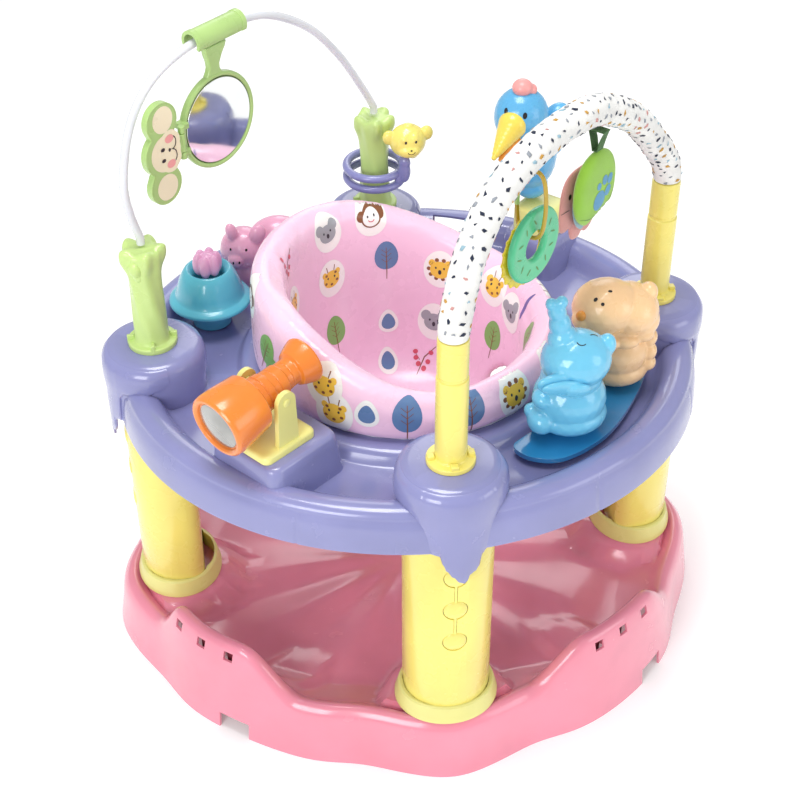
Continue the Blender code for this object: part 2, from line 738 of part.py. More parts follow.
# ---------------------------------------------------------------- stems and arches
def make_green_stem(name, x, y, turn):
    """A tree-trunk stem with a flared crown, a knob, and a flange with clips."""
    profile = [(0.0, 0.566), (0.018, 0.566), (0.0225, 0.562), (0.0235, 0.552), (0.0215, 0.540),
               (0.0190, 0.528), (0.0182, 0.505), (0.0190, 0.470), (0.0205, STEM_BASE + 0.006),
               (0.0285, STEM_BASE + 0.005), (0.0285, STEM_BASE), (0.0, STEM_BASE)]
    stem = turned(f"trunk_stem_{name}", profile, "green_plastic", at(x, y, 0.0, turn), 14)
    knob = ellipsoid(f"trunk_knob_{name}", (0.0, 0.0, 0.0), (0.009, 0.009, 0.012), None)
    knob.matrix_world = at(x, y, 0.0, turn) @ Matrix.Translation((0.0140, -0.0070, 0.548))
    join(stem, knob)


def along_arch(start, end, points):
    """Turn (share of span in metres, height) pairs into points of an upright plane."""
    first = Vector((start[0], start[1], 0.0))
    way = (Vector((end[0], end[1], 0.0)) - first).normalized()
    return [first + way * span + Vector((0.0, 0.0, height)) for span, height in points]


def arch_path(route):
    """A smooth arch whose first and last pieces stand straight."""
    return [route[0]] + smooth_path(route[1:-1], 2) + [route[-1]]


def frame_on_arch(start, end, route, span):
    """Frame on an arch at a distance along its span: X runs along it, Z up out of it."""
    first = Vector((start[0], start[1], 0.0))
    way = (Vector((end[0], end[1], 0.0)) - first).normalized()
    side = Vector((way.y, -way.x, 0.0))
    path = arch_path(along_arch(start, end, route))
    for low, high in zip(path, path[1:]):
        low_span = (low - first).dot(way)
        high_span = (high - first).dot(way)
        if low_span <= span < high_span:
            point = low.lerp(high, (span - low_span) / (high_span - low_span))
            along = (high - low).normalized()
            up = along.cross(-side)
            return Matrix(((along.x, -side.x, up.x, point.x), (along.y, -side.y, up.y, point.y),
                           (along.z, -side.z, up.z, point.z), (0.0, 0.0, 0.0, 1.0)))
    return None


def make_wire_arch():
    """Bent wire between the two green stems, with its clip, mirror and monkey flap."""
    route = arch_path(along_arch(LEFT, BACK, WIRE_ROUTE))
    tube("wire_arch", route, WIRE_RADIUS, "white_plastic", None, 2)

    way = Vector((POST_X, POST_Y, 0.0)).normalized()
    facing = Vector((way.y, -way.x, 0.0))           # out of the arch, towards the front
    middle = along_arch(LEFT, BACK, ((MIRROR_SPAN, MIRROR_Z),))[0]
    frame = Matrix.Translation(middle) @ Matrix((
        (way.x, facing.x, 0.0, 0.0), (way.y, facing.y, 0.0, 0.0),
        (0.0, 0.0, 1.0, 0.0), (0.0, 0.0, 0.0, 1.0)))
    flat = frame @ Matrix.Rotation(math.pi / 2, 4, "X")

    holder = slab("mirror_frame", [arc(0, 0, MIRROR_RADIUS, MIRROR_RADIUS, 0.0, 342.0, 20)],
                  0.010, "green_plastic", flat)
    recess = slab("mirror_recess", [arc(0, 0, MIRROR_RADIUS - 0.006, MIRROR_RADIUS - 0.006,
                                        0.0, 342.0, 20)], 0.006, None,
                  flat @ Matrix.Translation((0.0, 0.0, -0.0045)))
    cut(holder, recess)
    neck = box("mirror_neck", (0.024, 0.008, 0.040), None,
               frame @ Matrix.Translation((0.004, 0.0, MIRROR_RADIUS + 0.016)))
    join(holder, neck)
    on_edge = Matrix.Rotation(math.pi / 2, 4, "Y")
    clip_frame = frame_on_arch(LEFT, BACK, WIRE_ROUTE, CLIP_SPAN) @ on_edge
    join(holder, cylinder("clip_barrel", CLIP_RADIUS, CLIP_LENGTH, None, clip_frame, 18))
    cut(holder, cylinder("clip_bore", CLIP_BORE, 2 * CLIP_LENGTH, None, clip_frame, 18))

    slab("mirror_glass", [arc(0, 0, MIRROR_RADIUS - 0.0064, MIRROR_RADIUS - 0.0064,
                              0.0, 342.0, 20)], 0.0020, "mirror_glass",
         flat @ Matrix.Translation((0.0, 0.0, -0.0031)))

    lobes = (((-0.036, 0.037), 0.0220), ((-0.0365, 0.0), 0.0270), ((-0.038, -0.038), 0.0225))
    flap_frame = flat @ Matrix.Translation((-MIRROR_RADIUS - FLAP_HINGE_OUT, 0.0,
                                            -FLAP_HINGE_FORWARD))
    flap = None
    for index, ((across, up), radius) in enumerate(lobes):
        outline = arc(across + 0.006, up, radius, radius, 0.0, 337.5, 16)
        if flap is None:
            flap = slab("monkey_flap", [outline], 0.0080, "green_plastic", flap_frame)
        else:
            join(flap, slab(f"flap_lobe_{index}", [outline], 0.0080, None, flap_frame))
    join(flap, box("flap_tab", (0.016, 0.022, 0.006), None,
                   flap_frame @ Matrix.Translation((-0.006, 0.0, 0.0))))
    pin = cylinder("flap_barrel", 0.0040, 0.022, None,
                   flap_frame @ Matrix.Rotation(math.pi / 2, 4, "X"), 16)
    join(flap, pin)
    for end in (-1, 1):
        knuckle = cylinder(f"frame_knuckle_{end + 1}", 0.0040, 0.008, None,
                           flap_frame @ Matrix.Translation((0.0, end * 0.0155, 0.0))
                           @ Matrix.Rotation(math.pi / 2, 4, "X"), 16)
        join(holder, knuckle)
        arm = box(f"frame_arm_{end + 1}", (0.011, 0.007, 0.013), None,
                  flap_frame @ Matrix.Translation((0.0070, end * 0.0155, 0.0065)))
        join(holder, arm)


def make_ring_and_monkey():
    """Double ring that turns round the back stem, with a monkey head on it."""
    x, y, _turn = BACK
    place = at(x, y, 0.0)
    ring = turned("stem_ring", [(0.0400, 0.4985), (0.0425, 0.4950), (0.0425, 0.4900),
                                (0.0380, 0.4860), (0.0380, 0.4830), (0.0425, 0.4790),
                                (0.0425, 0.4740), (0.0400, 0.4705), (0.0330, 0.4705),
                                (0.0305, 0.4740), (0.0305, 0.4950), (0.0330, 0.4985)],
                  "purple_plastic", place, 18, looped=True)
    perch = box("ring_perch", (0.024, 0.014, 0.044), None,
                place @ Matrix.Rotation(MONKEY_TURN, 4, "Z")
                @ Matrix.Translation((0.0435, 0.0, 0.4950)))
    join(ring, perch)
    figure("ring_monkey", [((0.0, 0.0, 0.0), (0.024, 0.020, 0.023)),
                           ((-0.022, 0.0, 0.010), (0.010, 0.007, 0.010)),
                           ((0.022, 0.0, 0.010), (0.010, 0.007, 0.010)),
                           ((0.0, -0.014, -0.008), (0.015, 0.012, 0.011))],
           "yellow_plastic", place @ Matrix.Translation(
               (MONKEY_REACH * math.cos(MONKEY_TURN), MONKEY_REACH * math.sin(MONKEY_TURN), 0.5406)))


def make_fabric_arch():
    """Printed sleeve on its core, between two plastic end posts."""
    path = arch_path(along_arch(FRONT, RIGHT, SLEEVE_ROUTE))
    tube("arch_core", path, CORE_RADIUS, "white_plastic", None, 2)
    sleeve = tube("arch_sleeve", path, SLEEVE_RADIUS, "sleeve_fabric", None, 2)
    evaluated = sleeve.evaluated_get(bpy.context.evaluated_depsgraph_get())
    solid = outward(bpy.data.meshes.new_from_object(evaluated))
    bpy.data.objects.remove(sleeve, do_unlink=True)
    cover = add_object("arch_sleeve", solid, "sleeve_fabric")
    low_path = [path[0] - Vector((0.0, 0.0, 0.01))] + path + [path[-1] - Vector((0, 0, 0.01))]
    hollow = tube("sleeve_bore", low_path, CORE_RADIUS + 0.0004, "white_plastic", None, 2)
    evaluated = hollow.evaluated_get(bpy.context.evaluated_depsgraph_get())
    bore_mesh = outward(bpy.data.meshes.new_from_object(evaluated))
    bpy.data.objects.remove(hollow, do_unlink=True)
    cut(cover, add_object("sleeve_bore", bore_mesh, None))
    link_at = frame_on_arch(FRONT, RIGHT, SLEEVE_ROUTE, LINK_SPAN).translation
    tab = slab("sleeve_tab", [arc(0.0, 0.0, 0.0080, 0.0080, 0.0, 337.5, 16)], 0.0020, None,
               Matrix.Translation(link_at) @ Matrix.Rotation(math.atan2(POST_Y, POST_X), 4, "Z")
               @ Matrix.Translation((0.0, 0.0, -TAB_DROP)) @ Matrix.Rotation(math.pi / 2, 4, "X"))
    join(cover, tab)
    cut(cover, cylinder("tab_eye", LINK_RADIUS + 0.0018, 0.010, None, tab.matrix_world, 12))

    top = SLEEVE_ROUTE[0][1] - 2 * GAP
    profile = [(0.0, top), (SLEEVE_RADIUS, top), (SLEEVE_RADIUS, POST_JOINT_Z + 0.0025),
               (0.0155, POST_JOINT_Z + 0.0010), (0.0155, POST_JOINT_Z - 0.0010),
               (0.0172, POST_JOINT_Z - 0.0025), (0.0172, STEM_BASE + 0.006),
               (0.0265, STEM_BASE + 0.005), (0.0265, STEM_BASE), (0.0, STEM_BASE)]
    for name in ("front", "right"):
        x, y, turn = POSTS[name]
        turned(f"arch_post_{name}", profile, "yellow_plastic", at(x, y, 0.0, turn), 14)


def on_edge_upright():
    """Turn that stands a flat outline up across the arch."""
    return Matrix.Rotation(math.pi / 2, 4, "Z") @ Matrix.Rotation(math.pi / 2, 4, "X")


def make_hanging_toys():
    """Leaf plush on its strap, and the link with its teether and bead rings."""
    leaf_at = frame_on_arch(FRONT, RIGHT, SLEEVE_ROUTE, LEAF_SPAN).translation
    link_at = frame_on_arch(FRONT, RIGHT, SLEEVE_ROUTE, LINK_SPAN).translation
    flat_turn = Matrix.Rotation(math.atan2(POST_Y, POST_X), 4, "Z")
    upright = Matrix.Rotation(math.pi / 2, 4, "X")

    strap_top = -TAB_DROP - 0.0006
    strap_low = -LEAF_DROP + 0.0480
    strap_mid = (strap_top + strap_low) / 2
    outer = [(-0.0100, strap_top), (0.0100, strap_top), (0.0075, strap_mid),
             (0.0030, strap_low), (-0.0030, strap_low), (-0.0075, strap_mid)]
    inner = [(x * 0.72, strap_mid + (z - strap_mid) * 0.86) for x, z in outer]
    slab("leaf_strap", [outer, inner], 0.012, "strap_fabric",
         Matrix.Translation(leaf_at) @ flat_turn @ on_edge_upright())
    leaf = Matrix.Translation(leaf_at) @ flat_turn @ Matrix.Translation((0.0, 0.0, -LEAF_DROP))
    plush = ellipsoid("leaf_plush", (0.0, 0.0, 0.0), (0.037, 0.008, 0.0470), "plush_fabric",
                      14, 7)
    plush.matrix_world = leaf
    tag = ellipsoid("fish_tag", (0.0, 0.0, 0.0), (0.038, 0.004, 0.046), "rose_fabric",
                    14, 7)
    tag.matrix_world = leaf @ Matrix.Translation((-0.008, 0.0135, -0.012))

    drop = Matrix.Translation(link_at) @ flat_turn
    middle = drop @ Matrix.Translation((0.0, 0.0, RINGS_Z - link_at.z))
    link_top = -TAB_DROP
    link_low = RINGS_Z - link_at.z + 0.0068
    link = smooth_path([(0.0, 0.0, link_top), (0.0, 0.0140, link_top - 0.012),
                        (0.0, 0.0175, (link_top + link_low) / 2), (0.0, 0.0140, link_low + 0.012),
                        (0.0, 0.0, link_low), (0.0, -0.0140, link_low + 0.012),
                        (0.0, -0.0175, (link_top + link_low) / 2), (0.0, -0.0140, link_top - 0.012),
                        (0.0, 0.0, link_top)], 2)
    rings = []
    for before, here, after in zip([link[-2]] + link[:-2], link[:-1], link[1:]):
        along = (after - before).normalized()
        side = Vector((1.0, 0.0, 0.0))
        up = along.cross(side)
        rings.append([here + (side * math.cos(turn) + up * math.sin(turn)) * LINK_RADIUS
                      for turn in (math.radians(45.0 * step) for step in range(8))])
    loft("link_loop", rings, "yellow_plastic", drop, looped=True)

    turned("teether_ring", [(0.039, 0.004), (0.042, 0.0), (0.039, -0.004), (0.0190, -0.004),
                            (0.0160, 0.0), (0.0190, 0.004)], "green_plastic",
           middle @ Matrix.Translation((0.0, -0.0052, 0.0)) @ upright, 18, looped=True)
    turned("bead_ring", [(0.040, 0.003), (0.0435, 0.0), (0.040, -0.003), (0.0270, -0.003),
                         (0.0235, 0.0), (0.0270, 0.003)], "yellow_plastic",
           middle @ Matrix.Translation((0.0, 0.0042, -0.0100)) @ upright, 18, looped=True)


# ---------------------------------------------------------------- tray toys
def make_telescope():
    """Telescope on a yoke: plate with two ears, pin, stepped barrel and lens."""
    x, y = SCOPE_CENTRE
    yoke = at(x, y, 0.0, SCOPE_TURN)
    plate = box("scope_bracket", (0.074, 0.074, PLATE_TOP - PLATFORM_TOP - GAP),
                "pale_yellow_plastic",
                yoke @ Matrix.Translation((0.0, 0.0, (PLATE_TOP + PLATFORM_TOP + GAP) / 2)), 0.0)
    for side in (-1, 1):
        ear_outline = [(-0.015, PLATE_TOP - 0.004), (0.015, PLATE_TOP - 0.004)] + arc(
            0.0, SCOPE_PIVOT_Z, 0.0125, 0.0125, 0.0, 180.0, 11)
        ear = slab(f"scope_ear_{side + 1}", [ear_outline], 0.006, None,
                   yoke @ Matrix.Translation((0.0, side * 0.0300, 0.0))
                   @ Matrix.Rotation(math.pi / 2, 4, "X"))
        join(plate, ear)
    across = (yoke @ Matrix.Translation((0.0, 0.0, SCOPE_PIVOT_Z))
              @ Matrix.Rotation(math.pi / 2, 4, "X"))
    cut(plate, cylinder("ear_bore", 0.0045, 0.090, None, across, 16))

    barrel_turn = (yoke @ Matrix.Translation((0.0, 0.0, SCOPE_PIVOT_Z))
                   @ Matrix.Rotation(math.pi / 2 - math.radians(8.0), 4, "Y"))
    profile = [(0.0, 0.0610), (0.0255, 0.0610), (0.0270, 0.0580), (0.0200, 0.0400),
               (0.0160, 0.0380), (0.0160, 0.0220), (0.0180, 0.0200), (0.0180, 0.0020),
               (0.0205, 0.0000), (0.0225, -0.0180), (0.0335, -0.0215), (0.0370, -0.0640),
               (0.0345, -0.0715), (0.0285, -0.0715), (0.0275, -0.0670), (0.0, -0.0670)]
    barrel = turned("scope_barrel", profile, "orange_plastic", barrel_turn, 16)
    cut(barrel, cylinder("barrel_bore", 0.0045, 0.090, None, across, 16))
    cylinder("scope_pin", 0.0041, 0.0680, "pale_yellow_plastic", across, 16)
    turned("scope_lens", [(0.0, -0.0675), (0.0265, -0.0675), (0.0265, -0.0695), (0.0, -0.0702)],
           "lens_glass", barrel_turn, 16)


def make_flower_pot():
    """Teal pot on the tray's rim line, with a press-down flower bud."""
    x, y = POT
    floor = TRAY_TROUGH + 0.0016
    turned("flower_pot", [(0.0230, 0.4520), (0.0300, 0.4490), (0.0385, 0.4350),
                          (0.0425, 0.4160), (0.0500, 0.4110), (0.0505, 0.4060),
                          (0.0240, 0.4035), (0.0240, floor), (0.0160, floor)],
           "teal_plastic", at(x, y, 0.0), 20, looped=True)
    turned("flower_bud", [(0.0, 0.016), (0.010, 0.015), (0.0185, 0.006), (0.0190, -0.006),
                          (0.0160, -0.014), (0.0, -0.014)], "rose_plastic",
           at(x, y, 0.4580), 14)


def make_pig():
    """Pink pig lying behind the flower pot."""
    x, y = PIG
    lumps = (((0.0, 0.0, 0.050), (0.027, 0.024, 0.026)),
             ((0.040, 0.014, 0.050), (0.034, 0.024, 0.028)),
             ((0.012, -0.004, 0.022), (0.024, 0.020, 0.026)),
             ((0.040, 0.006, 0.022), (0.026, 0.020, 0.026)),
             ((-0.012, -0.008, 0.076), (0.008, 0.007, 0.013)),
             ((0.016, -0.012, 0.074), (0.010, 0.008, 0.013)))
    sized = [(PIG_SIZE * Vector(centre), PIG_SIZE * Vector(radii)) for centre, radii in lumps]
    pig = figure("pink_pig", sized, "rose_plastic", at(x, y, TRAY_TROUGH + 0.0020))
    trim = box("pig_trim", (0.2, 0.2, 0.02), None, at(x, y, TRAY_TROUGH + 0.0012 - 0.0100))
    cut(pig, trim)


def make_bird():
    """Blue bird on its pale yellow perch box."""
    x, y, turn, _size = TOY_PLATFORMS["perch"]
    box("bird_box", (0.056, 0.056, 0.036), "pale_yellow_plastic",
        at(x, y, PLATFORM_TOP + GAP + 0.018, turn), 0.004)
    foot = PLATFORM_TOP + 2 * GAP + 0.036
    bird = figure("blue_bird", [((-0.012, 0.000, 0.120), (0.034, 0.033, 0.038)),
                                ((0.000, 0.008, 0.062), (0.034, 0.034, 0.050)),
                                ((-0.029, -0.034, 0.108), (0.017, 0.022, 0.018)),
                                ((-0.013, -0.003, 0.160), (0.013, 0.013, 0.012)),
                                ((0.030, 0.016, 0.102), (0.020, 0.018, 0.026))],
                  "sky_plastic", at(x - 0.012, y + 0.008, foot + 0.0003))
    join(bird, cylinder("bird_stand", 0.016, 0.024, None,
                        at(x - 0.012, y + 0.008, foot + 0.0123), 20))


def make_pond_animals():
    """Elephant and lion on the blue pond plate."""
    outline = smooth_path([(0.086, -0.198, 0.0), (0.135, -0.230, 0.0), (0.196, -0.194, 0.0),
                           (0.250, -0.124, 0.0), (0.274, -0.070, 0.0), (0.250, -0.052, 0.0),
                           (0.200, -0.068, 0.0), (0.180, -0.118, 0.0), (0.134, -0.164, 0.0),
                           (0.086, -0.198, 0.0)], 3)[:-1]
    slab("pond_plate", [[(point.x, point.y) for point in outline]], 0.0060, "blue_plastic",
         at(0.0, 0.0, POND_TOP - 0.0030))
    for name, (x, y), look, lumps in (
            ("elephant", ELEPHANT, "sky_plastic",
             [((0.0, 0.0, 0.038), (0.043, 0.040, 0.040)), ((0.003, -0.004, 0.096),
              (0.040, 0.036, 0.034)), ((-0.017, 0.003, 0.137), (0.013, 0.0125, 0.035)),
              ((-0.018, -0.028, 0.080), (0.030, 0.013, 0.017)),
              ((0.036, -0.004, 0.110), (0.011, 0.012, 0.014)),
              ((-0.034, -0.012, 0.030), (0.017, 0.020, 0.026))]),
            ("lion", LION, "peach_plastic",
             [((0.004, 0.0, 0.040), (0.039, 0.037, 0.042)), ((-0.008, -0.002, 0.104),
              (0.044, 0.038, 0.035)), ((-0.042, -0.014, 0.102), (0.012, 0.014, 0.012)),
              ((0.024, -0.002, 0.092), (0.030, 0.034, 0.027)),
              ((0.038, -0.012, 0.052), (0.014, 0.014, 0.026))])):
        animal = figure(name, lumps, look, at(x, y, POND_TOP + 0.0003))
        trim = box(f"{name}_trim", (0.2, 0.2, 0.02), None, at(x, y, POND_TOP + 0.0003 - 0.0088))
        cut(animal, trim)


# ---------------------------------------------------------------- build
def main():
    """Make every part."""
    make_base()
    for quarter, degrees in enumerate(NOTCH_ANGLES):
        make_foot(quarter, degrees)
    for name, (x, y, turn) in POSTS.items():
        make_leg(name, x, y, turn)
    make_tray()
    make_seat()
    for name in ("left", "back"):
        make_green_stem(name, *POSTS[name])
    make_wire_arch()
    make_ring_and_monkey()
    make_fabric_arch()
    make_hanging_toys()
    make_telescope()
    make_flower_pot()
    make_pig()
    make_bird()
    make_pond_animals()


main()
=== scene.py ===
"""Looks of the activity jumper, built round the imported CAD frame. Metres, +Z up."""
import math
import random

import bmesh
import bpy
from mathutils import Matrix, Vector
from mathutils.bvhtree import BVHTree


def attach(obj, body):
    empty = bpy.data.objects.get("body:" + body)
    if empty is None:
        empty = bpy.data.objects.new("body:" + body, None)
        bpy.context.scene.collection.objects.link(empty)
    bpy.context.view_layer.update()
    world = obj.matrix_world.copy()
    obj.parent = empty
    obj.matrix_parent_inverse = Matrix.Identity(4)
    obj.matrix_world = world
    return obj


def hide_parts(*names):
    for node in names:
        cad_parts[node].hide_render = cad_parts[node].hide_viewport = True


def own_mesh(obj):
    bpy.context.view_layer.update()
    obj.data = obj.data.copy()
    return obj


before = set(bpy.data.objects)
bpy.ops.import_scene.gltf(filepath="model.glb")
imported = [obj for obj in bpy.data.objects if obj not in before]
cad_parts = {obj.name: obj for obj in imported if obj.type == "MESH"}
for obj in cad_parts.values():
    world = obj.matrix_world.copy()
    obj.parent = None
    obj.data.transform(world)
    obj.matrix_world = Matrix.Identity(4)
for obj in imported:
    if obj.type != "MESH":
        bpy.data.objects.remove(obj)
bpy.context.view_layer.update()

# ---------------------------------------------------------------- sizes shared with the CAD
POST_X = 0.3
POST_Y = 0.267
POSTS = {
    "front": (0.0, -POST_Y, 0.0),
    "right": (POST_X, 0.0, math.pi / 2),
    "back": (0.0, POST_Y, math.pi),
    "left": (-POST_X, 0.0, -math.pi / 2),
}
FLOOR_Z = 0.05
BOSS_Z = 0.0785
RIM_LOW = 0.078
RIM_HIGH = 0.135
NOTCH_ANGLES = (-138.5, -38.0, 41.5, 142.0)
VENT_ANGLES = (-147.0, -48.0, 33.0, 132.0)
LEG_TOP = 0.372
COLUMN_TOP = 0.386
TURRET_CEILING = 0.429
TRAY_BOTTOM = 0.352
TRAY_TROUGH = 0.374
TRAY_HUB = 0.39
TURRET_TOP = 0.434
STEM_BASE = 0.4343
PLATFORM_TOP = 0.424
SPAN = math.hypot(POST_X, POST_Y)
ARCH_WAY = Vector((POST_X, POST_Y, 0.0)).normalized()
ARCH_FACE = Vector((ARCH_WAY.y, -ARCH_WAY.x, 0.0))
ARCH_TURN = math.atan2(POST_Y, POST_X)
WIRE_ROUTE = ((0.000, 0.5665), (0.000, 0.575), (-0.01, 0.61), (-0.013, 0.65), (0.003, 0.705),
    (0.035, 0.743), (0.085, 0.763), (0.15, 0.768), (0.215, 0.761), (0.285, 0.722), (0.338, 0.668),
    (0.378, 0.612), (SPAN, 0.575), (SPAN, 0.5665))
SLEEVE_ROUTE = ((0.000, 0.593), (0.000, 0.598), (0.008, 0.631), (0.026, 0.677), (0.06, 0.718),
    (0.115, 0.743), (0.177, 0.751), (0.241, 0.743), (0.31, 0.706), (0.362, 0.656), (0.391, 0.622),
    (SPAN, 0.598), (SPAN, 0.593))
UP = Vector((0.0, 0.0, 1.0))
UPRIGHT = Matrix.Rotation(math.pi / 2, 4, "X")
BASE_HALF = (0.372, 0.322)
TRAY_HALF = (0.346, 0.32)
WALL = 0.003
NARROW_ANGLES = (-135.0, 45.0)
FLOOR_ROW = 20
VENT_SIZE = 0.0125
VENT_Z = 0.1195
BUTTON_HEIGHTS = (0.305, 0.256, 0.207)
SPRING_TURNS = 3
SEAT_LOW_CREST = 0.446
SEAT_RISE = 0.07
SEAT_BACK_ANGLE = 157.0
LEG_HOLE_ANGLES = (-66.0, 6.0)
LEG_HOLE_RADIUS = 0.0405
SLEEVE_RADIUS = 0.01655
CHIP_COUNT = 430
LEAF_SPAN = 0.243
LINK_SPAN = 0.125
TEETHER_Z = 0.64
SCOPE_TURN = math.radians(38.0)
PERCH = (0.206, 0.19, math.radians(45.0))
PIG_SIZE = 1.12


# ---------------------------------------------------------------- camera, light, floor
def look_at(obj, target):
    """Point a camera or light at a target."""
    obj.rotation_euler = (Vector(target) - obj.location).to_track_quat("-Z", "Y").to_euler()


camera = bpy.data.objects.new("camera", bpy.data.cameras.new("camera"))
bpy.context.scene.collection.objects.link(camera)
camera.location = (-0.247, -1.473, 1.464)
look_at(camera, (0.0, 0.0, 0.31))
camera.data.lens = 68.9
camera.data.sensor_width = 36.0
camera.data.shift_x = -0.0107
bpy.context.scene.camera = camera

for name, place, size, power in (("key", (-1.7, -2.3, 1.5), 1.3, 38), ("fill", (2.4, -1.7, 1.1), 1.5, 16),
        ("top", (-0.2, -0.1, 3.0), 1.1, 38), ("rim", (0.6, 2.4, 1.9), 1.4, 12)):
    light = bpy.data.objects.new(name, bpy.data.lights.new(name, "AREA"))
    bpy.context.scene.collection.objects.link(light)
    light.location = place
    light.data.size = size
    light.data.energy = power
    look_at(light, (0.0, 0.0, 0.3))

world = bpy.data.worlds.new("studio")
bpy.context.scene.world = world
world.use_nodes = True
world.node_tree.nodes["Background"].inputs["Color"].default_value = (1.0, 1.0, 1.0, 1.0)
world.node_tree.nodes["Background"].inputs["Strength"].default_value = 0.55
bpy.context.scene.view_settings.view_transform = "Standard"


# ---------------------------------------------------------------- materials
def linear(code):
    """Linear RGBA from an sRGB hex code."""
    parts = [int(code[i:i + 2], 16) / 255 for i in (1, 3, 5)]
    return (*[p / 12.92 if p <= 0.04045 else ((p + 0.055) / 1.055) ** 2.4 for p in parts], 1.0)


def shade(colour, factor):
    """A lighter or darker copy of a linear colour."""
    return (*[min(channel * factor, 1.0) for channel in colour[:3]], 1.0)


def new_material(name):
    """Material with its node tree, shader and object coordinates."""
    made = bpy.data.materials.new(name)
    made.use_nodes = True
    tree = made.node_tree
    coords = tree.nodes.new("ShaderNodeTexCoord")
    return made, tree, tree.nodes["Principled BSDF"], coords.outputs["Object"]


def noise_node(tree, coords, scale, detail=3.0, rough=0.5):
    """Noise texture on the given coordinates."""
    node = tree.nodes.new("ShaderNodeTexNoise")
    node.inputs["Scale"].default_value = scale
    node.inputs["Detail"].default_value = detail
    node.inputs["Roughness"].default_value = rough
    tree.links.new(coords, node.inputs["Vector"])
    return node.outputs["Fac"]


def remap(tree, value, low, high, to_low, to_high):
    """Map a range of values to another, clamped."""
    node = tree.nodes.new("ShaderNodeMapRange")
    for key, amount in (("From Min", low), ("From Max", high), ("To Min", to_low), ("To Max", to_high)):
        node.inputs[key].default_value = amount
    tree.links.new(value, node.inputs["Value"])
    return node.outputs["Result"]


def mix_colour(tree, factor, first, second):
    """Blend two colours (values or sockets) by a factor socket."""
    node = tree.nodes.new("ShaderNodeMix")
    node.data_type = "RGBA"
    tree.links.new(factor, node.inputs[0])
    for socket, value in ((node.inputs[6], first), (node.inputs[7], second)):
        if isinstance(value, tuple):
            socket.default_value = value
        else:
            tree.links.new(value, socket)
    return node.outputs[2]


def bump(tree, height, strength, distance, after=None):
    """Bump node fed by a height socket, stacked on an earlier one."""
    node = tree.nodes.new("ShaderNodeBump")
    node.inputs["Strength"].default_value = strength
    node.inputs["Distance"].default_value = distance
    tree.links.new(height, node.inputs["Height"])
    if after is not None:
        tree.links.new(after, node.inputs["Normal"])
    return node.outputs["Normal"]


def plastic(name, code, rough=0.25, coat=0.35, grain=0.05, tint=0.1, sheen_noise=0.08):
    """Moulded plastic: faint flow marks in colour, uneven gloss, orange-peel surface, scuffed edges."""
    made, tree, shader, coords = new_material(name)
    base = linear(code)
    flow = noise_node(tree, coords, 9.0, 3.0)
    colour = mix_colour(tree, remap(tree, flow, 0.3, 0.7, 0.0, 1.0), shade(base, 1 - tint),
        shade(base, 1 + tint * 0.6))
    speck = noise_node(tree, coords, 420.0, 2.0)
    colour = mix_colour(tree, remap(tree, speck, 0.66, 0.8, 0.0, 0.1), colour, shade(base, 0.75))
    geometry = tree.nodes.new("ShaderNodeNewGeometry")
    edge = remap(tree, geometry.outputs["Pointiness"], 0.53, 0.6, 0.0, 0.22)
    colour = mix_colour(tree, edge, colour, shade(base, 1.35))
    tree.links.new(colour, shader.inputs["Base Color"])
    gloss = noise_node(tree, coords, 26.0, 4.0)
    tree.links.new(remap(tree, gloss, 0.3, 0.7, max(rough - sheen_noise, 0.05), rough + sheen_noise),
        shader.inputs["Roughness"])
    peel = bump(tree, noise_node(tree, coords, 120.0, 2.0), grain, 0.0006)
    fine = bump(tree, noise_node(tree, coords, 900.0, 2.0), grain * 0.8, 0.0002, peel)
    tree.links.new(fine, shader.inputs["Normal"])
    shader.inputs["Coat Weight"].default_value = coat
    shader.inputs["Coat Roughness"].default_value = 0.12
    shader.inputs["Subsurface Weight"].default_value = 0.06
    shader.inputs["Subsurface Radius"].default_value = (0.004, 0.003, 0.002)
    return made


def cloth(name, code, scale=700.0, strength=0.5, sheen=0.4, second=None):
    """Woven or plush cloth: crossed threads, fuzz, and uneven dye."""
    made, tree, shader, coords = new_material(name)
    base = linear(code)
    waves = []
    for direction in ("X", "Z"):
        wave = tree.nodes.new("ShaderNodeTexWave")
        wave.bands_direction = direction
        wave.inputs["Scale"].default_value = scale
        wave.inputs["Distortion"].default_value = 1.2
        tree.links.new(coords, wave.inputs["Vector"])
        waves.append(wave.outputs["Fac"])
    weave = tree.nodes.new("ShaderNodeMath")
    weave.operation = "MULTIPLY"
    tree.links.new(waves[0], weave.inputs[0])
    tree.links.new(waves[1], weave.inputs[1])
    dye = noise_node(tree, coords, 40.0, 4.0)
    colour = mix_colour(tree, remap(tree, dye, 0.3, 0.7, 0.0, 1.0), shade(base, 0.86), shade(base, 1.08))
    colour = mix_colour(tree, remap(tree, weave.outputs[0], 0.0, 1.0, 0.35, 0.0), colour, linear(second)
        if second else shade(base, 0.7))
    tree.links.new(colour, shader.inputs["Base Color"])
    threads = bump(tree, weave.outputs[0], strength, 0.0004)
    fuzz = bump(tree, noise_node(tree, coords, 600.0, 4.0), strength * 0.7, 0.0006, threads)
    tree.links.new(fuzz, shader.inputs["Normal"])
    tree.links.new(remap(tree, dye, 0.3, 0.7, 0.75, 0.95), shader.inputs["Roughness"])
    shader.inputs["Sheen Weight"].default_value = sheen
    shader.inputs["Sheen Roughness"].default_value = 0.4
    return made


def printed(name, code):
    """Ink on the seat's cover: matte next to the glossy film, slightly mottled."""
    return plastic(name, code, rough=0.34, coat=0.25, grain=0.08, tint=0.1)


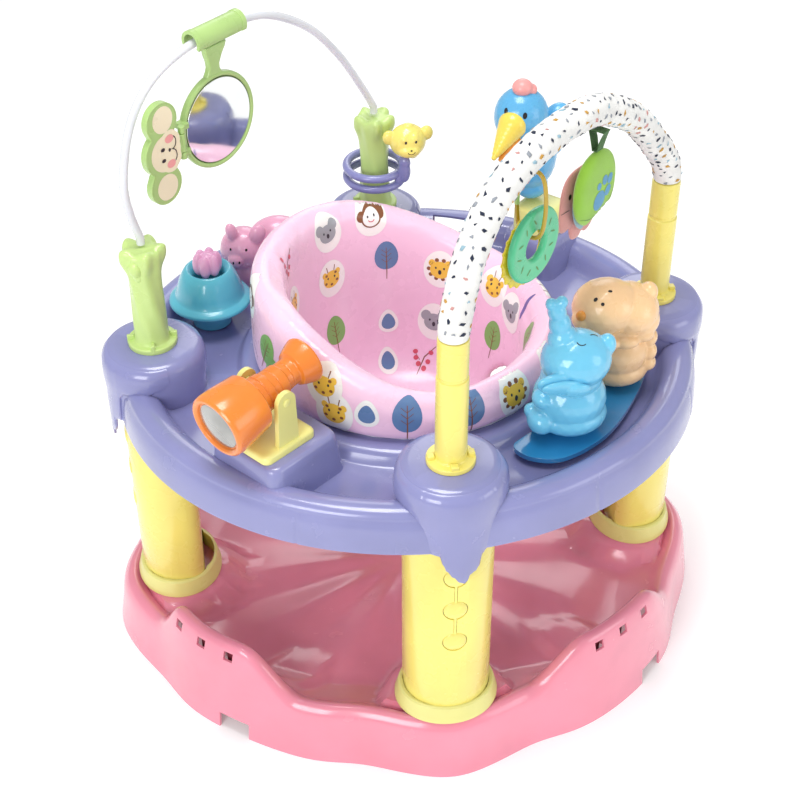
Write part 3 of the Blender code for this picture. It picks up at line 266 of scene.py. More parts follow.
M = {
    "pink": plastic("pink_moulding", "#ee90a5", 0.2, 0.5),
    # Dark plastic for the plates behind the base's vents: painted shade for the shadow inside the hollow
    # base.
    "vent_painted_shade": plastic("vent_shadow", "#8a3644", 0.6, 0.0),
    "purple": plastic("purple_moulding", "#8a8cbc", 0.22, 0.5),
    "yellow": plastic("yellow_moulding", "#f4e577", 0.26, 0.4),
    "pale": plastic("pale_yellow_moulding", "#ebe68f", 0.34, 0.2),
    "lime": plastic("green_moulding", "#c6e08a", 0.34, 0.2),
    "leaf_green": plastic("clip_green_moulding", "#afcf80", 0.3, 0.3),
    "white": plastic("white_coated_wire", "#e2e4e9", 0.22, 0.4),
    "orange": plastic("orange_moulding", "#ec8430", 0.24, 0.4),
    "teal": plastic("teal_moulding", "#5cbfd4", 0.22, 0.5),
    "pond": plastic("pond_blue_moulding", "#2c86bd", 0.12, 0.8),
    "sky": plastic("sky_blue_vinyl", "#72c9ec", 0.22, 0.45),
    "bird": plastic("bird_blue_vinyl", "#5fb2e2", 0.26, 0.35),
    "peach": plastic("peach_vinyl", "#fbcf9c", 0.28, 0.35),
    "rose": plastic("pig_pink_vinyl", "#ecaac8", 0.24, 0.45),
    "petal": plastic("petal_pink", "#f2b4da", 0.28, 0.35),
    "beak": plastic("beak_yellow_vinyl", "#f6dd5c", 0.26, 0.35),
    "amber": plastic("amber_vinyl", "#ee9c3c", 0.26, 0.35),
    "gold": plastic("gold_link", "#b99a2c", 0.25, 0.4),
    "teether": plastic("teether_green", "#4fc48e", 0.3, 0.35),
    "bead": plastic("bead_yellow", "#f1d52e", 0.28, 0.35),
    "steel": plastic("spring_steel_wire", "#9b9ca3", 0.4, 0.1),
    "violet": plastic("ring_violet_moulding", "#8b8cc4", 0.22, 0.5),
    "black": plastic("black_paint", "#1c1a1d", 0.25, 0.4),
    "cream": plastic("cream_paint", "#f6e9c8", 0.34, 0.2),
    "cheek": plastic("cheek_pink_paint", "#f4a5a2", 0.36, 0.2),
    "dark_green": plastic("dark_green_edge", "#4c8a3a", 0.34, 0.2),
    "print_white": printed("print_white", "#f7f6f2"),
    "print_blue": printed("print_blue", "#5f80ad"),
    "print_green": printed("print_green", "#7fb35c"),
    "print_brown": printed("print_brown", "#86512f"),
    "print_yellow": printed("print_yellow", "#f0c447"),
    "print_grey": printed("print_grey", "#9fa3a9"),
    "print_red": printed("print_red", "#d8556a"),
    "print_black": printed("print_black", "#2d2a35"),
    "print_violet": printed("print_violet", "#6e63a3"),
    "chip_navy": cloth("chip_navy", "#26304a", sheen=0.1),
    "chip_grey": cloth("chip_grey", "#a3a9b3", sheen=0.1),
    "chip_blue": cloth("chip_blue", "#a8cfe0", sheen=0.1),
    "chip_mustard": cloth("chip_mustard", "#dba64a", sheen=0.1),
    "chip_pink": cloth("chip_pink", "#e3a5a0", sheen=0.1),
    "sleeve": cloth("sleeve_cloth", "#f7f6f3", 800.0, 0.35, 0.3, "#dcdcd8"),
    "plush": cloth("leaf_plush", "#a4dc48", 500.0, 0.6, 0.6),
    "plush_rose": cloth("fish_plush", "#f4aaa4", 500.0, 0.6, 0.6),
    "plush_blue": cloth("spot_plush", "#5aa9d8", 500.0, 0.6, 0.6),
    "plush_grey": cloth("under_plush", "#9cc0cf", 500.0, 0.6, 0.6),
    "strap": cloth("strap_webbing", "#47773a", 420.0, 0.9, 0.2),
}


def seat_film():
    """Glossy printed cover film over foam, softly wrinkled."""
    made, tree, shader, coords = new_material("seat_cover_film")
    base = linear("#f6cbe4")
    tone = noise_node(tree, coords, 7.0, 4.0)
    colour = mix_colour(tree, remap(tree, tone, 0.3, 0.7, 0.0, 1.0), shade(base, 0.95), shade(base, 1.03))
    tree.links.new(colour, shader.inputs["Base Color"])
    folds = bump(tree, noise_node(tree, coords, 16.0, 3.0, 0.6), 0.3, 0.004)
    film = bump(tree, noise_node(tree, coords, 90.0, 3.0), 0.12, 0.001, folds)
    weave = bump(tree, noise_node(tree, coords, 1300.0, 1.0), 0.1, 0.0002, film)
    tree.links.new(weave, shader.inputs["Normal"])
    tree.links.new(remap(tree, noise_node(tree, coords, 30.0, 4.0), 0.3, 0.7, 0.2, 0.38),
        shader.inputs["Roughness"])
    shader.inputs["Coat Weight"].default_value = 0.35
    shader.inputs["Coat Roughness"].default_value = 0.18
    shader.inputs["Sheen Weight"].default_value = 0.15
    return made


def mirror_film():
    """Silvered plastic mirror with slight waviness."""
    made, tree, shader, coords = new_material("silver_mirror")
    shader.inputs["Metallic"].default_value = 1.0
    smear = noise_node(tree, coords, 22.0, 4.0)
    tree.links.new(mix_colour(tree, remap(tree, smear, 0.3, 0.7, 0.0, 1.0), (0.8, 0.82, 0.82, 1),
        (0.88, 0.89, 0.88, 1)), shader.inputs["Base Color"])
    tree.links.new(remap(tree, smear, 0.3, 0.7, 0.02, 0.07), shader.inputs["Roughness"])
    tree.links.new(bump(tree, noise_node(tree, coords, 14.0, 1.0), 0.12, 0.002), shader.inputs["Normal"])
    return made


def lens_film():
    """Pale grey lens behind a glossy face."""
    made, tree, shader, coords = new_material("grey_lens")
    haze = noise_node(tree, coords, 30.0, 3.0)
    tree.links.new(mix_colour(tree, remap(tree, haze, 0.3, 0.7, 0.0, 1.0), linear("#858683"),
        linear("#a9aaa7")), shader.inputs["Base Color"])
    shader.inputs["Metallic"].default_value = 0.55
    tree.links.new(remap(tree, haze, 0.3, 0.7, 0.1, 0.2), shader.inputs["Roughness"])
    shader.inputs["Coat Weight"].default_value = 0.6
    return made


M["seat"] = seat_film()
M["mirror"] = mirror_film()
M["lens"] = lens_film()
M["steel"].node_tree.nodes["Principled BSDF"].inputs["Metallic"].default_value = 1.0


# ---------------------------------------------------------------- mesh helpers
def shown(name, mesh, look, place=None, smooth=40.0):
    """Link a mesh as a shown piece."""
    made = bpy.data.objects.new(name, mesh)
    bpy.context.scene.collection.objects.link(made)
    if look is not None:
        mesh.materials.append(M[look])
    mesh.shade_smooth()
    if smooth < 180.0:
        mesh.set_sharp_from_angle(angle=math.radians(smooth))
    if place is not None:
        made.matrix_world = place
        bpy.context.view_layer.update()
    return made


def at(x, y, z, turn=0.0):
    """Placement matrix: a point and a turn about Z."""
    return Matrix.Translation((x, y, z)) @ Matrix.Rotation(turn, 4, "Z")


def mesh_from(name, verts, faces, weld=1e-6):
    """Mesh with welded points and outward faces."""
    mesh = bpy.data.meshes.new(name)
    mesh.from_pydata([tuple(v) for v in verts], [], faces)
    work = bmesh.new()
    work.from_mesh(mesh)
    bmesh.ops.remove_doubles(work, verts=work.verts, dist=weld)
    bmesh.ops.dissolve_degenerate(work, edges=work.edges, dist=1e-7)
    bmesh.ops.recalc_face_normals(work, faces=work.faces)
    work.to_mesh(mesh)
    work.free()
    return mesh


def loft_mesh(name, rings, looped=False):
    """Skin rings of equal point count; looped joins last to first, else ends are capped."""
    count = len(rings[0])
    verts = [point for ring in rings for point in ring]
    faces = []
    for row in range(len(rings) if looped else len(rings) - 1):
        here = row * count
        there = ((row + 1) % len(rings)) * count
        for col in range(count):
            after = (col + 1) % count
            faces.append((here + col, here + after, there + after, there + col))
    if not looped:
        faces.append(tuple(range(count)))
        faces.append(tuple((len(rings) - 1) * count + col for col in range(count)))
    return mesh_from(name, verts, faces)


def smooth_path(points, steps, closed=False):
    """Catmull-Rom curve through points, with steps pieces between neighbours."""
    points = [Vector(p) for p in points]
    count = len(points)
    path = []
    for index in range(count if closed else count - 1):
        if closed:
            p0, p1, p2, p3 = (points[(index + k) % count] for k in (-1, 0, 1, 2))
        else:
            p0, p1 = points[max(index - 1, 0)], points[index]
            p2, p3 = points[index + 1], points[min(index + 2, count - 1)]
        for step in range(steps):
            t = step / steps
            path.append(0.5 * ((2 * p1) + (p2 - p0) * t + (2 * p0 - 5 * p1 + 4 * p2 - p3) * t * t
                + (3 * p1 - p0 - 3 * p2 + p3) * t ** 3))
    if not closed:
        path.append(points[-1])
    return path


def turns(count):
    """Angles that divide one turn evenly."""
    return [2 * math.pi * k / count for k in range(count)]


def lathe(name, profile, look, place=None, steps=64, rounding=0.0008, smooth=40.0):
    """Turn a closed or axis-ended profile of (radius, height) about Z, with rounded corners."""
    rings = []
    for radius, height in profile:
        reach = max(radius, 1e-5)
        rings.append([(reach * math.cos(angle), reach * math.sin(angle), height) for angle in turns(steps)])
    on_axis = profile[0][0] == 0.0
    mesh = loft_mesh(name, rings, looped=not on_axis)
    made = shown(name, mesh, look, place, smooth)
    if rounding:
        round_edges(made, rounding)
    return made


def round_edges(made, width, segments=3, angle=28.0):
    """Round the sharp edges of a piece."""
    modifier = made.modifiers.new("Round", "BEVEL")
    modifier.width = width
    modifier.segments = segments
    modifier.limit_method = "ANGLE"
    modifier.angle_limit = math.radians(angle)
    modifier.harden_normals = False
    return made


def baked(made):
    """Apply a piece's modifiers to its mesh."""
    bpy.context.view_layer.update()
    mesh = bpy.data.meshes.new_from_object(made.evaluated_get(bpy.context.evaluated_depsgraph_get()))
    made.modifiers.clear()
    made.data = mesh
    return made


def prism(name, outline, thickness, look, place=None, rounding=0.0, holes=()):
    """A flat piece from a closed outline, centred on its own plane, with optional holes."""
    curve = bpy.data.curves.new(name, "CURVE")
    curve.dimensions = "2D"
    curve.fill_mode = "BOTH"
    curve.extrude = thickness / 2
    for ring in (outline, *holes):
        spline = curve.splines.new("POLY")
        spline.points.add(len(ring) - 1)
        for point, (x, y) in zip(spline.points, ring):
            point.co = (x, y, 0.0, 1.0)
        spline.use_cyclic_u = True
    holder = bpy.data.objects.new(name, curve)
    bpy.context.scene.collection.objects.link(holder)
    bpy.context.view_layer.update()
    mesh = bpy.data.meshes.new_from_object(holder.evaluated_get(bpy.context.evaluated_depsgraph_get()))
    bpy.data.objects.remove(holder, do_unlink=True)
    work = bmesh.new()
    work.from_mesh(mesh)
    bmesh.ops.remove_doubles(work, verts=work.verts, dist=1e-6)
    bmesh.ops.recalc_face_normals(work, faces=work.faces)
    work.to_mesh(mesh)
    work.free()
    mesh.materials.clear()
    made = shown(name, mesh, look, place)
    if rounding:
        round_edges(made, rounding)
    return made


def sweep(name, points, radius, look, place=None, sides=20, closed=False, flat=1.0):
    """A round or flattened rod along points; radius is a number or a function of the share."""
    points = [Vector(p) for p in points]
    count = len(points)
    rings = []
    tangent = (points[1] - points[0]).normalized()
    side = tangent.orthogonal().normalized()
    for index, point in enumerate(points):
        if closed:
            along = (points[(index + 1) % count] - points[index - 1]).normalized()
        else:
            along = (points[min(index + 1, count - 1)] - points[max(index - 1, 0)]).normalized()
        side = (side - along * side.dot(along)).normalized()
        up = along.cross(side)
        size = radius(index / (count - 1)) if callable(radius) else radius
        rings.append([point + side * math.cos(angle) * size + up * math.sin(angle) * size * flat
            for angle in turns(sides)])
    return shown(name, loft_mesh(name, rings, looped=closed), look, place, 60.0)


def arc(centre_x, centre_y, radius_x, radius_y, start, end, count):
    """Points along an ellipse's arc, in degrees."""
    return [(centre_x + radius_x * math.cos(math.radians(start + (end - start) * k / (count - 1))),
        centre_y + radius_y * math.sin(math.radians(start + (end - start) * k / (count - 1))))
        for k in range(count)]


def ring_outline(radius_x, radius_y=None, count=48, x=0.0, y=0.0):
    """Points round a circle or ellipse."""
    radius_y = radius_x if radius_y is None else radius_y
    return [(x + radius_x * math.cos(angle), y + radius_y * math.sin(angle)) for angle in turns(count)]


def ball_mesh(name, centre, radii, turn=None, detail=3):
    """A stretched ball as a mesh."""
    spin = turn if turn is not None else Matrix.Identity(4)
    work = bmesh.new()
    bmesh.ops.create_icosphere(work, subdivisions=detail, radius=1.0,
        matrix=Matrix.Translation(centre) @ spin @ Matrix.Diagonal((*radii, 1.0)))
    mesh = bpy.data.meshes.new(name)
    work.to_mesh(mesh)
    work.free()
    return mesh


def moulded(name, lumps, look, place, voxel=0.0012, rounds=6):
    """Lumps (centre, radii, tilt in degrees about x, y, z) fused into one soft moulded body."""
    work = bmesh.new()
    for lump in lumps:
        centre, radii = lump[0], lump[1]
        tilt = lump[2] if len(lump) > 2 else (0, 0, 0)
        spin = (Matrix.Rotation(math.radians(tilt[2]), 4, "Z")
            @ Matrix.Rotation(math.radians(tilt[1]), 4, "Y") @ Matrix.Rotation(math.radians(tilt[0]), 4,
            "X"))
        work.from_mesh(ball_mesh("lump", centre, radii, spin))
    mesh = bpy.data.meshes.new(name)
    work.to_mesh(mesh)
    work.free()
    made = shown(name, mesh, look, place, 180.0)
    remesh = made.modifiers.new("Fuse", "REMESH")
    remesh.mode = "VOXEL"
    remesh.voxel_size = voxel
    remesh.use_smooth_shade = True
    soften = made.modifiers.new("Soften", "SMOOTH")
    soften.factor = 0.6
    soften.iterations = rounds
    return baked(made)


def painted(name, target, spots, look, lift=0.00025):
    """Paint spots on a piece: each spot is (point, outward direction, outline in metres), upright."""
    bpy.context.view_layer.update()
    tree = BVHTree.FromObject(target, bpy.context.evaluated_depsgraph_get())
    to_local = target.matrix_world.inverted()
    work = bmesh.new()
    for point, outward, outline in spots:
        outward = Vector(outward).normalized()
        side = UP.cross(outward).normalized()
        up = outward.cross(side)
        patch = bmesh.new()
        corners = [patch.verts.new((x, y, 0.0)) for x, y in outline]
        patch.faces.new(corners)
        bmesh.ops.triangulate(patch, faces=patch.faces)
        longest = 0.0022
        for _ in range(5):
            long_edges = [e for e in patch.edges if e.calc_length() > longest]
            if not long_edges:
                break
            bmesh.ops.subdivide_edges(patch, edges=long_edges, cuts=1)
            bmesh.ops.triangulate(patch, faces=[f for f in patch.faces if len(f.verts) > 3])
        for vert in patch.verts:
            world = Vector(point) + side * vert.co.x + up * vert.co.y
            start = to_local @ (world + outward * 0.03)
            way = (to_local.to_3x3() @ -outward).normalized()
            hit, normal, _i, _d = tree.ray_cast(start, way, 0.08)
            if hit is None:
                hit, normal, _i, _d = tree.find_nearest(to_local @ world)
            vert.co = target.matrix_world @ (hit + normal * lift)
        mesh = bpy.data.meshes.new("patch")
        patch.to_mesh(mesh)
        patch.free()
        work.from_mesh(mesh)
    bmesh.ops.recalc_face_normals(work, faces=work.faces)
    mesh = bpy.data.meshes.new(name)
    work.to_mesh(mesh)
    work.free()
    return shown(name, mesh, look, None, 180.0)


def dress(pieces, body):
    """Make pieces ride on a body."""
    for piece in pieces if isinstance(pieces, (list, tuple)) else [pieces]:
        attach(piece, body)


def smooth_step(low, high, value):
    """0 below low, 1 above high, with level ends."""
    share = min(max((value - low) / (high - low), 0.0), 1.0)
    return share * share * (3 - 2 * share)


def polar(radius, degrees, height):
    """A point from its radius, direction and height."""
    angle = math.radians(degrees)
    return Vector((radius * math.cos(angle), radius * math.sin(angle), height))


def post_offset(degrees):
    """Angle from the nearest post axis, 0 to 45 degrees."""
    return abs((degrees + 45.0) % 90.0 - 45.0)


def ellipse_radius(half_x, half_y, degrees):
    """Distance from the middle to an ellipse in a direction."""
    angle = math.radians(degrees)
    return half_x * half_y / math.hypot(half_y * math.cos(angle), half_x * math.sin(angle))


def carve(made, cutters, smooth):
    """Take the cutters' shapes out of a piece, drop the cutters and shade the piece again."""
    for cutter in cutters:
        modifier = made.modifiers.new("Cut", "BOOLEAN")
        modifier.operation = "DIFFERENCE"
        modifier.object = cutter
        modifier.solver = "EXACT"
    baked(made)
    for cutter in cutters:
        bpy.data.objects.remove(cutter, do_unlink=True)
    made.data.shade_smooth()
    made.data.set_sharp_from_angle(angle=math.radians(smooth))


def drum(radius, low, high):
    """Profile of a plain cylinder."""
    return [(0.0, high), (radius, high), (radius, low), (0.0, low)]


def pin_profile(radius, half, corner=0.0004):
    """Profile of a pin with broken edges, centred on its middle."""
    return [(0.0, half), (radius - corner, half), (radius, half - corner), (radius, corner - half),
        (radius - corner, -half), (0.0, -half)]


def outward_at(radius, degrees, height):
    """Placement at a polar point, its X facing outwards."""
    return Matrix.Translation(polar(radius, degrees, height)) @ Matrix.Rotation(math.radians(degrees), 4,
        "Z")


def between(knots, value):
    """Value between a list of (place, value) knots, or the last one outside them."""
    for (low, first), (high, second) in zip(knots, knots[1:]):
        if low <= value <= high:
            return first + (second - first) * (value - low) / (high - low)
    return knots[-1][1]


def double_skin(directions, columns, finish):
    """Rings of a thin moulding: its underside, one wall below, then its top; finish sets each point."""
    rows = len(columns[0])
    rings = []
    for order, drop in ((range(rows - 1, -1, -1), WALL), (range(rows), 0.0)):
        for row in order:
            ring = []
            for degrees, column in zip(directions, columns):
                before, after = column[max(row - 1, 0)], column[min(row + 1, rows - 1)]
                along = Vector((after[0] - before[0], after[1] - before[1])).normalized()
                radius = column[row][0] - along.y * drop
                height = column[row][1] + along.x * drop
                ring.append(finish(row, degrees, radius, height, drop))
            rings.append(ring)
    return rings


def block(name, size, look, place=None, rounding=0.001):
    """A bevelled block centred on its own origin."""
    work = bmesh.new()
    bmesh.ops.create_cube(work, size=1.0, matrix=Matrix.Diagonal((*size, 1.0)))
    mesh = bpy.data.meshes.new(name)
    work.to_mesh(mesh)
    work.free()
    made = shown(name, mesh, look, place)
    if rounding:
        round_edges(made, rounding)
    return made


def union_outline(circles, centre, count=120):
    """Outline round overlapping circles (x, y, radius), seen from a centre inside them."""
    points = []
    for angle in turns(count):
        way = Vector((math.cos(angle), math.sin(angle)))
        reach = 0.0
        for x, y, radius in circles:
            offset = Vector((x - centre[0], y - centre[1]))
            along = offset.dot(way)
            off = offset.length_squared - along ** 2
            if off < radius ** 2:
                reach = max(reach, along + math.sqrt(radius ** 2 - off))
        points.append((centre[0] + way.x * reach, centre[1] + way.y * reach))
    return points


def disc(x, y, rx, ry=None, count=24, turn=0.0):
    """Outline of an ellipse round (x, y), turned by some degrees."""
    ry = rx if ry is None else ry
    cos, sin = math.cos(math.radians(turn)), math.sin(math.radians(turn))
    return [(x + rx * math.cos(t) * cos - ry * math.sin(t) * sin,
        y + rx * math.cos(t) * sin + ry * math.sin(t) * cos) for t in turns(count)]


def stroke(points, width):
    """Outline of a painted line along points."""
    left, right = [], []
    for k, (x, y) in enumerate(points):
        before, after = points[max(k - 1, 0)], points[min(k + 1, len(points) - 1)]
        dx, dy = after[0] - before[0], after[1] - before[1]
        size = math.hypot(dx, dy) or 1.0
        taper = 0.55 if k in (0, len(points) - 1) else 1.0
        left.append((x - dy / size * width / 2 * taper, y + dx / size * width / 2 * taper))
        right.append((x + dy / size * width / 2 * taper, y - dx / size * width / 2 * taper))
    return left + right[::-1]


# ---------------------------------------------------------------- base dish
def angle_between(first, second):
    """The angle between two directions, 0 to 180 degrees."""
    return abs((first - second + 180.0) % 360.0 - 180.0)


def base_radius(degrees):
    """The base's foot outline: an ellipse with a lobe at each post and a dip beside it."""
    offset = post_offset(degrees)
    lobe = 0.012 * math.exp(-((offset / 9.0) ** 2))
    dip = 0.008 * math.exp(-(((offset - 20.0) / 8.0) ** 2))
    dip += sum(0.009 * math.exp(-((angle_between(degrees, narrow) / 22.0) ** 2))
        for narrow in NARROW_ANGLES)
    return ellipse_radius(*BASE_HALF, degrees) + lobe - dip


def rim_height(degrees):
    """The base's wavy rim: low at the posts, with a crest over each row of vents."""
    nearest = min(angle_between(degrees, vent) for vent in VENT_ANGLES)
    share = smooth_step(13.0, 25.0, post_offset(degrees)) * (1.0 - smooth_step(9.0, 23.0, nearest))
    return RIM_LOW + (RIM_HIGH - RIM_LOW) * share


def base_relief(x, y, height, radius, degrees, drop):
    """Bosses, socket rings, ribs and foot pads of the floor, added to the plain profile."""
    nearest = min(math.hypot(x - cx, y - cy) for cx, cy, _turn in POSTS.values())
    lift = 1.0 - smooth_step(0.062, 0.082, nearest)
    ribs = 0.5 + 0.5 * math.cos(math.radians(12.0 * degrees + 11.25))
    reach = smooth_step(0.035, 0.1, radius) * (1.0 - smooth_step(0.205, 0.262, radius))
    height += 0.0036 * ribs * reach * (1.0 - lift)
    height += lift * max(BOSS_Z - drop - height, 0.0)
    height += 0.0085 * math.exp(-(((nearest - 0.0735) / 0.0032) ** 2)) * smooth_step(0.0, 0.1, lift + 0.1)
    for px, py in ((-0.172, -0.186), (0.172, -0.186), (0.172, 0.186), (-0.172, 0.186)):
        apart = math.hypot((x - px) * 0.8, y - py)
        height += 0.0065 * (1.0 - smooth_step(0.028, 0.036, apart))
    return height


def make_base():
    """The wavy dish, with vents, notches and folded feet; dark plates behind the vents are painted shade.
    """
    directions = [index * 1.5 for index in range(240)]
    columns = []
    for degrees in directions:
        edge = base_radius(degrees)
        rim = rim_height(degrees)
        flat = edge - 0.082
        knots = [(edge, 0.0), (edge - 0.0005, 0.006), (edge - 0.004, 0.35 * rim),
            (edge - 0.009, 0.78 * rim), (edge - 0.015, rim - 0.005), (edge - 0.023, rim),
            (edge - 0.031, rim - 0.005), (edge - 0.04, rim - 0.45 * (rim - FLOOR_Z)),
            (edge - 0.058, FLOOR_Z + 0.008), (flat, FLOOR_Z)]
        path = smooth_path([(r, z, 0.0) for r, z in knots], 3)
        path += [Vector((flat * share, FLOOR_Z, 0.0)) for share in (0.93, 0.86, 0.79, 0.72, 0.64, 0.56,
            0.47, 0.38, 0.29, 0.2, 0.11, 0.02)]
        columns.append([(p.x, p.y) for p in path])

    def settle(row, degrees, radius, height, drop):
        """Level the foot edge, and add the floor's relief."""
        if row == 0:
            height = 0.0
        point = polar(radius, degrees, 0.0)
        if row > FLOOR_ROW:
            height = base_relief(point.x, point.y, height, radius, degrees, drop)
        return (point.x, point.y, height)

    rings = double_skin(directions, columns, settle)
    dish = shown("dish_shell", loft_mesh("dish_shell", rings), "pink", None, 50.0)
    work = bmesh.new()
    # Each vent gets a dark plate behind it: painted shade standing in for the shadow inside the hollow
    # base.
    painted_shade_plates = []
    for middle in VENT_ANGLES:
        for step in (-1, 0, 1):
            angle = middle + step * 7.0
            place = (outward_at(base_radius(angle) - 0.007, angle, VENT_Z)
                @ Matrix.Diagonal((0.034, VENT_SIZE, VENT_SIZE, 1.0)))
            bmesh.ops.create_cube(work, size=1.0, matrix=place)
            back = outward_at(base_radius(angle) - 0.02, angle, 0.1085)
            painted_shade_plates.append(block(f"vent_back_{round(angle)}", (0.002, 0.018, 0.032), "vent_painted_shade", back,
                0.0))
    for angle in NOTCH_ANGLES:
        place = outward_at(base_radius(angle), angle, 0.0) @ Matrix.Diagonal((0.03, 0.042, 0.048, 1.0))
        bmesh.ops.create_cube(work, size=1.0, matrix=place)
    mesh = bpy.data.meshes.new("holes")
    work.to_mesh(mesh)
    work.free()
    carve(dish, [shown("dish_holes", mesh, None)], 50)
    dress([dish, *painted_shade_plates], "root")
    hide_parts("base_dish")
    for index, angle in enumerate(NOTCH_ANGLES):
        foot_at = outward_at(base_radius(angle) - 0.09, angle, FLOOR_Z - 0.0105)
        outline = ([(-0.002, -0.0165), (0.03, -0.0165)] + arc(0.03, 0.0, 0.0112, 0.0165, -90, 90, 15)
            + [(-0.002, 0.0165)])
        foot = prism(f"fold_foot_{index + 1}", outline, 0.0052, "pink", foot_at, 0.0012)
        dress(foot, f"foot_{index + 1}")
        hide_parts(f"stabiliser_foot_{index + 1}")


# ---------------------------------------------------------------- legs
def leg_outline(grow=0.0, steps=28):
    """The leg's D section, its round side towards -Y."""
    half = 0.0505 + grow
    back = 0.031 + grow
    return (arc(0.0, 0.0, half, 0.0455 + grow, 180.0, 360.0, steps)
        + arc(0.034, 0.01, half - 0.034, back - 0.01, 0.0, 90.0, 8)
        + arc(-0.034, 0.01, half - 0.034, back - 0.01, 90.0, 180.0, 8))


def make_leg(name):
    """Post, collar and button strip of one leg."""
    x, y, turn = POSTS[name]
    low, high = BOSS_Z + 0.0003, LEG_TOP
    post = prism(f"post_{name}", leg_outline(), high - low, "yellow", at(x, y, (low + high) / 2, turn),
        0.001, holes=(leg_outline(-0.003),))
    stand = at(x, y, 0.0, turn) @ Matrix.Translation((0.0, -0.0445, 0.0)) @ UPRIGHT
    outlines = [ring_outline(0.0141, count=40, y=height) for height in BUTTON_HEIGHTS]
    outlines.append([(-0.0019, 0.207), (0.0019, 0.207), (0.0019, 0.305), (-0.0019, 0.305)])
    carve(post, [prism("button_hole", outline, 0.012, None, stand) for outline in outlines], 35)
    dress(post, "root")
    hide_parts(f"leg_post_{name}")

    for height in BUTTON_HEIGHTS:
        face = at(x, y, 0.0, turn) @ Matrix.Translation((0.0, -0.044, height)) @ UPRIGHT
        button = lathe(f"button_{name}_{round(height * 1000)}",
            [(0.0, 0.003), (0.006, 0.0028), (0.01, 0.0021), (0.0126, 0.0012), (0.0135, -0.0002),
            (0.0135, -0.0015), (0.0, -0.0015)], "yellow", face, 40, 0.0)
        dress(button, f"button_{name}")
    bar = prism(f"button_bar_{name}", [(-0.0015, 0.219), (0.0015, 0.219), (0.0015, 0.293),
        (-0.0015, 0.293)], 0.0028, "yellow", at(x, y, 0.0, turn) @ Matrix.Translation((0.0, -0.044, 0.0))
        @ UPRIGHT, 0.0005)
    dress(bar, f"button_{name}")
    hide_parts(f"height_buttons_{name}")

    inner = leg_outline(0.0005)
    count = 72
    rings = []
    for grow, height in ((0.0, 0.079), (0.0, 0.0835), (-0.0012, 0.0862), (-0.003, 0.0945), (-0.0042, 0.099),
            (-0.0062, 0.1008), (-0.008, 0.101)):
        rings.append([Vector((px, py, height)) for px, py in ring_outline(0.061 + grow, 0.053 + grow,
            count)])
    hole = []
    for angle in [math.atan2(p.y, p.x) for p in rings[0]]:
        best = min(inner, key=lambda q: abs((math.atan2(q[1], q[0]) - angle + math.pi) % (2 * math.pi)
            - math.pi))
        reach = math.hypot(*best)
        hole.append((reach * math.cos(angle), reach * math.sin(angle)))
    for height in (0.101, 0.079):
        rings.append([Vector((px, py, height)) for px, py in hole])
    collar = shown(f"collar_{name}", loft_mesh(f"collar_{name}", rings, looped=True), "pale",
        at(x, y, 0.0, turn), 32.0)
    carve(collar, [block("slit", (0.016, 0.007, 0.003), None,
        at(x, y, 0.0, turn) @ Matrix.Translation(polar(0.057, degrees, 0.0925))
        @ Matrix.Rotation(math.radians(degrees + 90), 4, "Z"), 0.0)
        for degrees in (-118.0, -62.0, 62.0, 118.0)], 32)
    round_edges(collar, 0.0006, 2)
    dress(collar, "root")
    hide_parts(f"leg_collar_{name}")


def make_spring(name):
    """Steel coil between a leg's sliding column and its turret, built at one fixed length."""
    x, y, turn = POSTS[name]
    low, high = COLUMN_TOP + 0.0021, TURRET_CEILING - 0.0021
    coil = []
    steps = 48 * SPRING_TURNS
    for step in range(steps + 1):
        share = step / steps
        angle = 2 * SPRING_TURNS * math.pi * share
        coil.append((0.026 * math.cos(angle), 0.026 * math.sin(angle), low + (high - low) * share))
    spring = sweep(f"bounce_coil_{name}", coil, 0.0016, "steel", at(x, y, 0.0, turn), sides=12)
    dress(spring, "height_carriers")
    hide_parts(f"bounce_spring_{name}")
    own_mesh(spring)


# ---------------------------------------------------------------- tray
def tray_knots(degrees):
    """The tray's upper skin at one direction, from the skirt's foot in to the seat hole."""
    edge = ellipse_radius(*TRAY_HALF, degrees)
    inner = edge - 0.054
    return [(edge, TRAY_BOTTOM), (edge, 0.3545), (edge - 0.0012, 0.372), (edge - 0.0042, 0.3885),
        (edge - 0.0066, 0.3918), (edge - 0.0068, 0.3934), (edge - 0.0082, 0.3975), (edge - 0.0125, 0.401),
        (edge - 0.0185, 0.4027), (edge - 0.025, 0.4027), (edge - 0.032, 0.4008), (edge - 0.0385, 0.396),
        (edge - 0.0425, 0.389), (edge - 0.046, 0.381), (edge - 0.0495, 0.376), (inner, TRAY_TROUGH),
        (0.55 * inner + 0.45 * 0.208, TRAY_TROUGH), (0.2085, TRAY_TROUGH + 0.0003), (0.2045, 0.3768),
        (0.201, 0.384), (0.1965, 0.3886), (0.19, TRAY_HUB), (0.17, TRAY_HUB), (0.1625, 0.389),
        (0.1602, 0.3865), (0.16, 0.366)]


